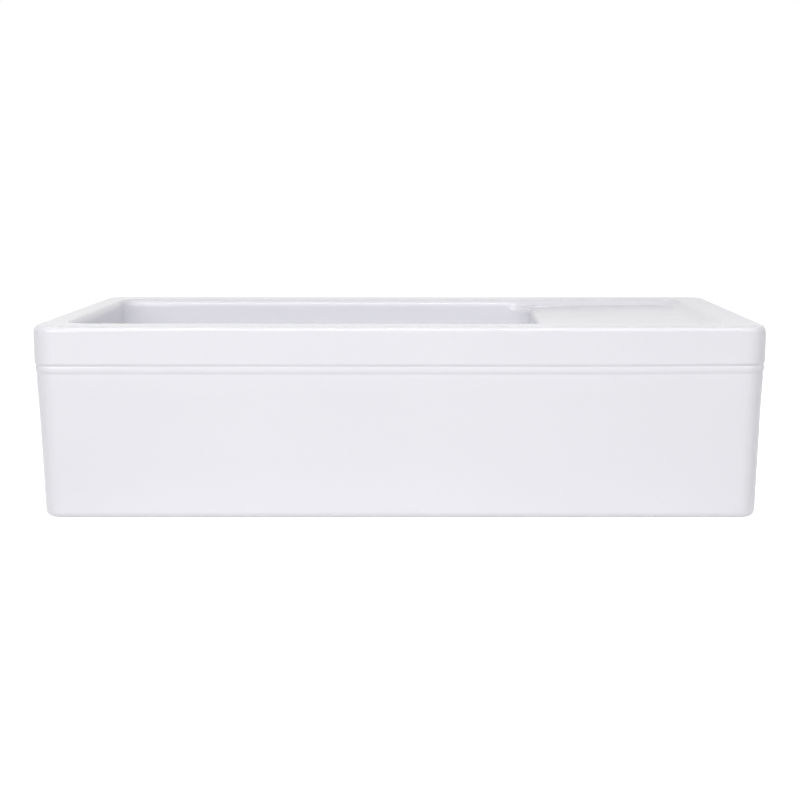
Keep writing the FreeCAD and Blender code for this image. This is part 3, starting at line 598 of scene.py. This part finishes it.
# how far right of the bowl's left wall the deep hollow starts, and is at its full height
DEEP_START, DEEP_WHOLE = 6.0, 60.0
DEEP = smooth(front_x, DEEP_START - BOWL_LEFT, DEEP_WHOLE - BOWL_LEFT)
# at the left end: how far inside the hollow's outline the block's flat ends, the block's wall
# ends, the ceiling starts and the ceiling ends
FLAT_INSIDE, WALL_INSIDE, NEAR_INSIDE, FAR_INSIDE = 24.0, 18.0, 16.0, 7.0
# the block's wall leans back in as it rises: how far out it is, and how high above the flat
WALL_OUT = BLOCK_ROUND, 9.0, 6.0
WALL_UP = 60.0, 130.0, CEILING - UNDERSIDE - 8.0
# elsewhere: how far outside the block the ceiling starts, and inside the outline it ends
NEAR_OUT_X, NEAR_OUT_Y, FAR_IN_X, FAR_IN_Y = 6.0, 3.0, 12.0, 6.0
# the ceiling's corners where it meets the block and the outer wall
NEAR_CORNER, FAR_CORNER = 26.0, 20.0
# the outer wall: how far down each ring is, as a share, and how far inside the outline
OUTER_DOWN = 0.03, 0.08, 0.3, 0.6, 0.9
OUTER_INSIDE = 3.0, 1.0, 0.6, 0.3, 0.0
OUTER_FOOT = 8.0
INNER_FOOT_ROUND = 4.0


def underside_loops(first):
    """From the drain hole over the block, up to the deep hollow's ceiling and down to the foot.

    DEEP is 0 along the left side, where there is no deep hollow, and 1 elsewhere.
    """
    angle = np.arctan2(first[:, 1], first[:, 0] - DRAIN_X)
    hole = circles([HOLE_RADIUS, HOLE_RADIUS + HOLE_EDGE],
                   [UNDERSIDE + HOLE_EDGE, UNDERSIDE], angle)[1:]
    run, rise = ease(7, BLOCK_ROUND)
    # over the flat of the block, from the circle to the block's outline
    flat_left, flat_x, flat_y = HOLLOW_X - FLAT_INSIDE, BLOCK_X - BLOCK_ROUND, BLOCK_Y - BLOCK_ROUND
    flat_edge = loops(BOWL, flat_left, flat_x, flat_y, BLOCK_CORNER, BLOCK_CORNER, UNDERSIDE)
    t = np.linspace(0, 1, 12)[1:, None, None]
    plate = hole[-1:] * (1 - t) + flat_edge * t
    # the block's rounded edge and its wall up to the ceiling
    out = np.concatenate([run[1:], WALL_OUT])
    up = np.concatenate([rise[1:], WALL_UP])
    share = np.linspace(0, 1, len(out) + 1)[1:]
    rising = UNDERSIDE + up[:, None] * DEEP
    block = loops(BOWL, flat_left + (FLAT_INSIDE - WALL_INSIDE) * share, flat_x + out,
                  flat_y + out, BLOCK_CORNER + out, BLOCK_CORNER + out, rising)
    # the ceiling: straight across from the block to the outer wall
    high = UNDERSIDE + (CEILING - UNDERSIDE) * DEEP
    inner = loops(BOWL, HOLLOW_X - NEAR_INSIDE, BLOCK_X + NEAR_OUT_X, BLOCK_Y + NEAR_OUT_Y,
                  NEAR_CORNER, NEAR_CORNER, high[None])
    outer = loops(WIDE, HOLLOW_X - FAR_INSIDE, HOLLOW_X - FAR_IN_X, HOLLOW_Y - FAR_IN_Y,
                  FAR_CORNER, FAR_CORNER, high[None], BREAK_X)
    t = np.linspace(0, 1, 14)[:, None, None]
    ceiling = inner * (1 - t) + outer * t
    # the hollow's outer wall, down to the foot, whose inner edge is rounded
    down = np.array(OUTER_DOWN)[:, None]
    falling = high * (1 - down) + OUTER_FOOT * down
    wall_x, wall_y = HOLLOW_X - np.array(OUTER_INSIDE), HOLLOW_Y - np.array(OUTER_INSIDE)
    wall = loops(WIDE, wall_x, wall_x, wall_y, HOLLOW_CORNER, HOLLOW_CORNER, falling, BREAK_X)
    run, rise = ease(5, INNER_FOOT_ROUND)
    foot_corner = HOLLOW_CORNER + rise
    foot = loops(WIDE, HOLLOW_X + rise, HOLLOW_X + rise, HOLLOW_Y + rise,
                 foot_corner, foot_corner, INNER_FOOT_ROUND - run, BREAK_X)
    return np.concatenate([hole, plate, block, ceiling, wall, foot])


underside = underside_loops(floor[-1])
casting_grid = np.concatenate([underside, outside, mouth, board, edge, bowl, floor])
print("whole casting:", casting_grid.shape[0], "loops by", POINTS, "points")

# %% [markdown]
# ## The hand of the kiln
# Fireclay moves as it dries and fires. Long lines wander by a third of a millimetre, flat faces
# belly a little, and that is why the light on a real apron wavers. A noise texture on a Displace
# modifier could do it, but a sum of a few long waves is easy to keep within a limit. The waves
# only ever push inwards, so the sink never grows past its size. The moulding also lifts a little
# towards its right end, as it does in the photograph.

# %% Warp
WANDER = 0.35
LINE_LIFT = 1.3
# each wave: its height, the millimetres along X, Y and Z that turn it by one radian, its start
WAVES = (
    (1.00, 97.0, math.inf, 61.0, 0.6),
    (0.45, 41.0, -83.0, math.inf, 2.1),
    (0.55, 190.0, math.inf, 38.0, 0.0),
    (0.60, math.inf, 71.0, 90.0, 1.3),
)
WAVE_MIDDLE, WAVE_SHARE = 0.5, 0.19
# levels between which the wander fades in at the foot and out at the rim
QUIET_FOOT, QUIET_RIM = (4.0, 60.0), (HEIGHT - 16, HEIGHT - 2)
# where the lift grows along X, and the levels between which it fades in and out
LIFT_ALONG, LIFT_IN, LIFT_OUT = (250.0, 500.0), (60.0, 190.0), (225.0, 258.0)
# how deep inside the outline a point counts as inside, and as outside
SKIN = -16.0, -12.0


def kiln_warp(p):
    """Move points by long waves: inwards on the outside, and up along the moulding.

    A wave is height times sin(x / a + y / b + z / c + start). Their sum, shifted so that it is
    never negative, is the share of the wander by which a point of the outside moves inwards.
    """
    x, y, z = p[..., 0], p[..., 1], p[..., 2]
    wave = sum(height * np.sin(x / a + y / b + z / c + start) for height, a, b, c, start in WAVES)
    inward = WANDER * (WAVE_MIDDLE + WAVE_SHARE * wave)
    sides = inward * smooth(z, *QUIET_FOOT) * (1 - smooth(z, *QUIET_RIM))
    lift = LINE_LIFT * smooth(x, *LIFT_ALONG) * smooth(z, *LIFT_IN) * (1 - smooth(z, *LIFT_OUT))
    outer = smooth(np.maximum(np.abs(x) - LENGTH_HALF, np.abs(y) - WIDTH_HALF), *SKIN)
    q = p.copy()
    q[..., 0] = x * (1 - sides * outer / LENGTH_HALF)
    q[..., 1] = y * (1 - sides * outer / WIDTH_HALF)
    q[..., 2] = z + lift * outer
    return q


warped_grid = kiln_warp(casting_grid)
print("largest move: %.2f mm" % np.abs(warped_grid - casting_grid).max())

# %% [markdown]
# ## From grid to mesh
# The grid's points are numbered row by row, so each face is a point, its neighbour along the
# loop and the same two of the next loop. Rolling the table of numbers by one closes it both
# ways. No Solidify, bevel or subdivision is needed, because the rounds are in the grid. The
# piece takes the place of the plain solid and rides on the same body.

# %% The casting
def closed_grid(name, p):
    """A mesh from a grid of points that closes on itself both ways, like the skin of a ring."""
    rows, around = p.shape[:2]
    index = np.arange(rows * around).reshape(rows, around)
    right = np.roll(index, -1, 1)
    quads = np.stack([index, right, np.roll(right, -1, 0), np.roll(index, -1, 0)], 2).reshape(-1, 4)
    mesh = bpy.data.meshes.new(name)
    mesh.from_pydata((p.reshape(-1, 3) * MM).tolist(), [], quads.tolist())
    mesh.polygons.foreach_set("use_smooth", np.ones(len(quads), bool))
    mesh.validate()
    mesh.update()
    piece = bpy.data.objects.new(name, mesh)
    bpy.context.collection.objects.link(piece)
    return piece


casting = closed_grid("glazed_casting", warped_grid)
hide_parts("sink_body")
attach(casting, "casting")
print("casting:", len(casting.data.polygons), "quads")

# %% [markdown]
# ## Helpers for node materials
# Every finish below is a Principled shader with something uneven on its colour, its gloss and
# its normal, because nothing real is even. The noise reads the object's own coordinates, so it
# stays on the piece when the piece moves. Image textures would need a picture and an unwrapped
# mesh. Each helper adds one node and links it, which keeps the recipes short.

# %% Material helpers
# most of a noise texture's values lie between these two
NOISE_LOW, NOISE_HIGH = 0.3, 0.7


def new_material(name):
    """A node material with its Principled shader, and the node tree to add to."""
    material = bpy.data.materials.new(name)
    material.use_nodes = True
    tree = material.node_tree
    return material, tree, tree.nodes["Principled BSDF"]


def add(tree, kind, **sockets):
    """A node with values on its sockets. A name with _ stands for a socket's name with a space."""
    node = tree.nodes.new(kind)
    for name, value in sockets.items():
        node.inputs[name.replace("_", " ")].default_value = value
    return node


def noise(tree, place, scale, detail=3.0):
    """Noise on the object's own coordinates, whose scale is in waves a metre."""
    node = add(tree, "ShaderNodeTexNoise", Scale=scale, Detail=detail)
    tree.links.new(place.outputs["Object"], node.inputs["Vector"])
    return node


def ramp(tree, source, low, high, low_colour, high_colour):
    """A colour ramp between two places, with a colour at each."""
    node = tree.nodes.new("ShaderNodeValToRGB")
    node.color_ramp.elements[0].position = low
    node.color_ramp.elements[1].position = high
    node.color_ramp.elements[0].color = (*low_colour, 1)
    node.color_ramp.elements[1].color = (*high_colour, 1)
    tree.links.new(source, node.inputs["Fac"])
    return node


def between(tree, source, low, high, to_low, to_high):
    """A value carried from one range to another, and held at its ends."""
    node = add(tree, "ShaderNodeMapRange",
               From_Min=low, From_Max=high, To_Min=to_low, To_Max=to_high)
    tree.links.new(source, node.inputs["Value"])
    return node


def reckon(tree, operation, first, second):
    """Two values put together by one of the Math node's operations."""
    node = tree.nodes.new("ShaderNodeMath")
    node.operation = operation
    tree.links.new(first, node.inputs[0])
    tree.links.new(second, node.inputs[1])
    return node.outputs["Value"]


def bump(tree, source, distance, strength, shader):
    """A bump from a height, onto the shader's normal."""
    node = add(tree, "ShaderNodeBump", Distance=distance, Strength=strength)
    tree.links.new(source, node.inputs["Height"])
    tree.links.new(node.outputs["Normal"], shader.inputs["Normal"])
    return node


print("helpers for colour, gloss and bump are ready")

# %% [markdown]
# ## White glaze
# The glaze is a thick opaque white with a hint of blue, glossy, and laid over buff clay. Its
# gloss is what shows the form: a bright line along each round. It is never quite even, so its
# colour varies by a percent or so and it ripples slightly. The drainboard is duller than the
# rest, as the photograph has it. On the foot, which stood on the kiln's shelf, there is bare
# clay, and a height worked out from the object's Z tells the two apart. Two materials on two
# sets of faces would end in a line of straight edges, while the glaze's own edge wanders.

# %% Glaze
GLAZE_IOR = 1.52
GLAZE_LOW, GLAZE_HIGH = (0.864, 0.859, 0.903), (0.878, 0.873, 0.915)
CLAY_LOW, CLAY_HIGH = (0.56, 0.49, 0.38), (0.68, 0.62, 0.51)
CLAY_GRAIN_LOW, CLAY_GRAIN_HIGH = 0.35, 0.65
# waves a metre of the glaze's cloud, haze and ripple, of the clay's grain and of the edge
CLOUD, HAZE, RIPPLE, CLAY_GRAIN, EDGE_WANDER = 3.2, 9.0, 34.0, 420.0, 26.0
# how high above the shelf the glaze ends, at least and at most, and half the edge's width
GLAZE_ENDS_LOW, GLAZE_ENDS_HIGH, GLAZE_EDGE = 0.0004, 0.0009, 0.0004
# roughness: of the glaze, added along X on the drainboard, and of the clay on top of these
ROUGH_LOW, ROUGH_HIGH = 0.08, 0.12
DULL_FROM, DULL_TO, DULLER = 0.16, 0.26, 0.12
CLAY_ROUGHER = 0.75
RIPPLE_HEIGHT, RIPPLE_STRENGTH = 0.0006, 0.015


def glaze_material():
    """Opaque white glaze over bare clay, which shows where the glaze ends near the shelf."""
    material, tree, shader = new_material("white_glaze")
    place = tree.nodes.new("ShaderNodeTexCoord")
    shader.inputs["IOR"].default_value = GLAZE_IOR
    cloud = noise(tree, place, CLOUD, 2.0)
    tint = ramp(tree, cloud.outputs["Fac"], NOISE_LOW, NOISE_HIGH, GLAZE_LOW, GLAZE_HIGH)
    grain = noise(tree, place, CLAY_GRAIN, 6.0)
    clay = ramp(tree, grain.outputs["Fac"], CLAY_GRAIN_LOW, CLAY_GRAIN_HIGH, CLAY_LOW, CLAY_HIGH)
    # bare clay below a wandering line less than a millimetre above the shelf
    split = tree.nodes.new("ShaderNodeSeparateXYZ")
    tree.links.new(place.outputs["Object"], split.inputs["Vector"])
    wander = noise(tree, place, EDGE_WANDER, 3.0)
    line = between(tree, wander.outputs["Fac"], NOISE_LOW, NOISE_HIGH,
                   GLAZE_ENDS_LOW, GLAZE_ENDS_HIGH)
    above = reckon(tree, "SUBTRACT", split.outputs["Z"], line.outputs["Result"])
    glazed = between(tree, above, -GLAZE_EDGE, GLAZE_EDGE, 0.0, 1.0)
    colour = tree.nodes.new("ShaderNodeMix")
    colour.data_type = "RGBA"
    tree.links.new(glazed.outputs["Result"], colour.inputs["Factor"])
    tree.links.new(clay.outputs["Color"], colour.inputs["A"])
    tree.links.new(tint.outputs["Color"], colour.inputs["B"])
    tree.links.new(colour.outputs["Result"], shader.inputs["Base Color"])
    haze = noise(tree, place, HAZE, 2.0)
    gloss = between(tree, haze.outputs["Fac"], NOISE_LOW, NOISE_HIGH, ROUGH_LOW, ROUGH_HIGH)
    dull = between(tree, split.outputs["X"], DULL_FROM, DULL_TO, 0.0, DULLER)
    rough = between(tree, glazed.outputs["Result"], 0.0, 1.0, CLAY_ROUGHER, 0.0)
    rougher = reckon(tree, "ADD", gloss.outputs["Result"], dull.outputs["Result"])
    roughest = reckon(tree, "ADD", rougher, rough.outputs["Result"])
    tree.links.new(roughest, shader.inputs["Roughness"])
    ripple = noise(tree, place, RIPPLE, 2.0)
    bump(tree, ripple.outputs["Fac"], RIPPLE_HEIGHT, RIPPLE_STRENGTH, shader)
    return material


casting.data.materials.append(glaze_material())
print("glaze on", casting.name)

# %% [markdown]
# ## Metals turned about the drain's axis
# The strainer's body and basket are stainless steel, brushed round and round on a lathe, so
# their grain runs in rings about the drain. Noise that reads only the distance from the axis
# and the height makes such rings. An anisotropic shader would give the same long highlights, but
# it needs a tangent and shows no grain from close by.

# %% Metal
STAIN_SCALE, STAIN_LOW, STAIN_HIGH = 90.0, 0.12, 0.42
METAL_BUMP = 0.35


def ring_grain(tree, scale):
    """Fine noise that is stretched around the drain's axis: it reads radius and height alone."""
    place = tree.nodes.new("ShaderNodeTexCoord")
    centre = add(tree, "ShaderNodeMapping")
    centre.inputs["Location"].default_value = (-DRAIN_X * MM, 0, 0)
    tree.links.new(place.outputs["Object"], centre.inputs["Vector"])
    split = tree.nodes.new("ShaderNodeSeparateXYZ")
    tree.links.new(centre.outputs["Vector"], split.inputs["Vector"])
    flat = tree.nodes.new("ShaderNodeCombineXYZ")
    tree.links.new(split.outputs["X"], flat.inputs["X"])
    tree.links.new(split.outputs["Y"], flat.inputs["Y"])
    length = tree.nodes.new("ShaderNodeVectorMath")
    length.operation = "LENGTH"
    tree.links.new(flat.outputs["Vector"], length.inputs[0])
    key = tree.nodes.new("ShaderNodeCombineXYZ")
    tree.links.new(length.outputs["Value"], key.inputs["X"])
    tree.links.new(split.outputs["Z"], key.inputs["Y"])
    grain = add(tree, "ShaderNodeTexNoise", Scale=scale, Detail=4.0)
    tree.links.new(key.outputs["Vector"], grain.inputs["Vector"])
    return place, grain


def metal_material(name, dark, light, rough_low, rough_high, grain_scale, depth):
    """A metal whose tint and gloss follow rings of grain, with faint stains over them."""
    material, tree, shader = new_material(name)
    shader.inputs["Metallic"].default_value = 1.0
    place, grain = ring_grain(tree, grain_scale)
    tint = ramp(tree, grain.outputs["Fac"], NOISE_LOW, NOISE_HIGH, dark, light)
    tree.links.new(tint.outputs["Color"], shader.inputs["Base Color"])
    stain = noise(tree, place, STAIN_SCALE, 4.0)
    both = reckon(tree, "MULTIPLY", stain.outputs["Fac"], grain.outputs["Fac"])
    gloss = between(tree, both, STAIN_LOW, STAIN_HIGH, rough_low, rough_high)
    tree.links.new(gloss.outputs["Result"], shader.inputs["Roughness"])
    bump(tree, grain.outputs["Fac"], depth, METAL_BUMP, shader)
    return material


print("rings of grain about X %.1f mm" % DRAIN_X)

# %% [markdown]
# ## Rubber, foam and board
# Rubber is matt with a faint bloom, the seal under the flange is grey foam, and the slip washer
# between gasket and nut is grey fibre board. All three are one recipe with other numbers: a
# mottled colour, a roughness that follows the mottling, and a fine grain in the normal.

# %% Matt materials
FINE_GRAIN, MATT_BUMP = 900.0, 0.4
ROUGHNESS_SPREAD = 0.15


def matt_material(name, dark, light, scale, rough, depth):
    """Rubber or board: a mottled colour, a matt surface and a fine grain."""
    material, tree, shader = new_material(name)
    place = tree.nodes.new("ShaderNodeTexCoord")
    mottle = noise(tree, place, scale, 5.0)
    tint = ramp(tree, mottle.outputs["Fac"], NOISE_LOW, NOISE_HIGH, dark, light)
    tree.links.new(tint.outputs["Color"], shader.inputs["Base Color"])
    gloss = between(tree, mottle.outputs["Fac"], NOISE_LOW, NOISE_HIGH,
                    rough, rough + ROUGHNESS_SPREAD)
    tree.links.new(gloss.outputs["Result"], shader.inputs["Roughness"])
    fine = noise(tree, place, FINE_GRAIN, 3.0)
    bump(tree, fine.outputs["Fac"], depth, MATT_BUMP, shader)
    return material


print("matt materials have", FINE_GRAIN, "waves of grain a metre")

# %% [markdown]
# ## A finish for each slot
# The record names a slot for every piece, and pieces of one slot are made of one stuff. So there
# is one material a slot, and a list of which node has which. The locknut is cast zinc, the nut
# and bush are brass, and the knob is chromed. The CAD meshes are only dressed here, never moved
# or edited.

# %% Finishes
# a metal: dark and light tint, lowest and highest roughness, waves of grain a metre, their depth
# a matt stuff: dark and light tint, waves of mottling a metre, lowest roughness, depth of grain
FINISHES = {
    "polished_steel": metal_material("brushed_steel", (0.46, 0.46, 0.47), (0.62, 0.62, 0.63),
                                     0.16, 0.34, 1500.0, 0.00003),
    "cast_zinc": metal_material("cast_zinc", (0.36, 0.37, 0.38), (0.50, 0.51, 0.52),
                                0.42, 0.62, 260.0, 0.00008),
    "turned_brass": metal_material("turned_brass", (0.62, 0.43, 0.17), (0.78, 0.57, 0.26),
                                   0.18, 0.32, 1800.0, 0.00002),
    "chromed_knob": metal_material("chromed_knob", (0.60, 0.61, 0.62), (0.66, 0.67, 0.68),
                                   0.05, 0.10, 120.0, 0.000005),
    "black_rubber": matt_material("black_rubber", (0.016, 0.016, 0.017), (0.034, 0.033, 0.032),
                                  160.0, 0.55, 0.00004),
    "seal_foam": matt_material("grey_seal", (0.20, 0.20, 0.20), (0.30, 0.30, 0.29),
                               300.0, 0.70, 0.00010),
    "fibre_board": matt_material("fibre_board", (0.34, 0.30, 0.24), (0.46, 0.41, 0.33),
                                 380.0, 0.75, 0.00010),
}

NODE_SLOTS = {
    "strainer_body": "polished_steel",
    "flange_seal": "seal_foam",
    "floor_gasket": "black_rubber",
    "friction_washer": "fibre_board",
    "locknut": "cast_zinc",
    "basket_cup": "polished_steel",
    "basket_bush": "turned_brass",
    "grip_ring": "black_rubber",
    "stopper_disc": "black_rubber",
    "stopper_plate": "polished_steel",
    "stopper_post": "polished_steel",
    "post_nut": "turned_brass",
    "knob": "chromed_knob",
}


def dress_nodes():
    """Give every CAD node that stays in view the finish of its slot in the record."""
    for name, slot in NODE_SLOTS.items():
        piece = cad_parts[name]
        piece.data.materials.clear()
        piece.data.materials.append(FINISHES[slot])
        print("  %-16s %s" % (name, slot))


dress_nodes()

# %% [markdown]
# ## Floor and backdrop
# The sink was photographed for a cut-out, on pure white. White could come from more light on the
# floor, but that light would wash out the sink too. So the floor is a pale matt sheet that keeps
# the sink's shadow, and only for the camera, reflections and glass it glows by just what it
# lacks to white. The world does the same: it lights at a low level and is seen as white.

# %% The floor and the world
FLOOR_HALF = 9.0
FLOOR_DROP = 0.0002
WORLD_LIGHT = 0.24
WORLD_TINT = (0.985, 0.985, 1.0, 1)
WHITE = (1, 1, 1, 1)
FLOOR_TONE = 0.80
FLOOR_SEEN = 1.02
FLOOR_GLOW = FLOOR_SEEN - FLOOR_TONE * WORLD_LIGHT


def background_ray(tree):
    """1 for a ray that the camera sends, straight or by way of a reflection or glass, else 0."""
    path = tree.nodes.new("ShaderNodeLightPath")
    seen = reckon(tree, "MAXIMUM", path.outputs["Is Camera Ray"], path.outputs["Is Glossy Ray"])
    return reckon(tree, "MAXIMUM", seen, path.outputs["Is Transmission Ray"])


def floor_sheet():
    """A wide flat sheet under the sink, with its material."""
    corners = [(-FLOOR_HALF, -FLOOR_HALF), (FLOOR_HALF, -FLOOR_HALF),
               (FLOOR_HALF, FLOOR_HALF), (-FLOOR_HALF, FLOOR_HALF)]
    mesh = bpy.data.meshes.new("floor")
    mesh.from_pydata([(x, y, -FLOOR_DROP) for x, y in corners], [], [(0, 1, 2, 3)])
    sheet = bpy.data.objects.new("floor", mesh)
    bpy.context.collection.objects.link(sheet)
    material = bpy.data.materials.new("floor_paper")
    material.use_nodes = True
    tree = material.node_tree
    tree.nodes.clear()
    out = tree.nodes.new("ShaderNodeOutputMaterial")
    paper = add(tree, "ShaderNodeBsdfDiffuse", Color=(FLOOR_TONE, FLOOR_TONE, FLOOR_TONE, 1))
    glow = add(tree, "ShaderNodeEmission", Color=WHITE, Strength=FLOOR_GLOW)
    both = tree.nodes.new("ShaderNodeAddShader")
    pick = tree.nodes.new("ShaderNodeMixShader")
    tree.links.new(paper.outputs["BSDF"], both.inputs[0])
    tree.links.new(glow.outputs["Emission"], both.inputs[1])
    tree.links.new(background_ray(tree), pick.inputs["Fac"])
    tree.links.new(paper.outputs["BSDF"], pick.inputs[1])
    tree.links.new(both.outputs["Shader"], pick.inputs[2])
    tree.links.new(pick.outputs["Shader"], out.inputs["Surface"])
    mesh.materials.append(material)
    return sheet


def seen_white_world(light):
    """A world that lights at one level, and is plain white to the camera and in reflections."""
    world = bpy.data.worlds.new("studio")
    world.use_nodes = True
    tree = world.node_tree
    tree.nodes.clear()
    out = tree.nodes.new("ShaderNodeOutputWorld")
    dim = add(tree, "ShaderNodeBackground", Color=WORLD_TINT, Strength=light)
    white = add(tree, "ShaderNodeBackground", Color=WHITE, Strength=1.0)
    pick = tree.nodes.new("ShaderNodeMixShader")
    tree.links.new(background_ray(tree), pick.inputs["Fac"])
    tree.links.new(dim.outputs["Background"], pick.inputs[1])
    tree.links.new(white.outputs["Background"], pick.inputs[2])
    tree.links.new(pick.outputs["Shader"], out.inputs["Surface"])
    bpy.context.scene.world = world
    return world


floor_sheet()
seen_white_world(WORLD_LIGHT)
print("floor and world are in place")

# %% [markdown]
# ## Lamps
# Four soft lamps stand for the studio. A long narrow one hangs above and in front of the sink,
# and its reflection is the bright line on the rounds of the rim. Two big ones stand in front,
# and the left one is twice as strong, because the apron in the photograph grows darker to the
# right. A small weak one low in front lifts the apron's middle. One bright world would need no
# lamps, but it has no direction, and white glaze would lose its form in it. Each lamp's watts
# were fitted to the tones of the photograph's regions, at a level where the white doesn't clip.

# %% Lamps
# each lamp: its place, the point it faces, its width and depth, and its watts
LAMPS = {
    "top_lamp": ((0.0, -1.2, 2.3), (0.0, -0.25, 0.25), 2.4, 0.25, 26.0),
    "left_lamp": ((-2.2, -3.4, 1.5), (-0.1, 0.0, 0.15), 2.2, 2.0, 44.0),
    "right_lamp": ((2.9, -3.0, 1.5), (-0.1, 0.0, 0.15), 2.2, 2.0, 22.0),
    "near_lamp": ((-0.06, -1.8, 0.95), (-0.05, -0.25, 0.15), 0.8, 0.5, 1.5),
}


def soft_lamp(name, place, aim, width, depth, power):
    """A rectangular lamp at a place, turned to face a point."""
    data = bpy.data.lights.new(name, "AREA")
    data.shape = "RECTANGLE"
    data.size = width
    data.size_y = depth
    data.energy = power
    lamp = bpy.data.objects.new(name, data)
    lamp.location = place
    direction = np.array(aim) - np.array(place)
    yaw = math.atan2(direction[1], direction[0]) - math.pi / 2
    down = math.atan2(-direction[2], math.hypot(direction[0], direction[1]))
    lamp.rotation_euler = (math.pi / 2 - down, 0, yaw)
    bpy.context.collection.objects.link(lamp)
    return lamp


for lamp_name, settings in LAMPS.items():
    soft_lamp(lamp_name, *settings)
bpy.context.scene.view_settings.view_transform = "Standard"
print("soft lamps:", ", ".join(LAMPS))
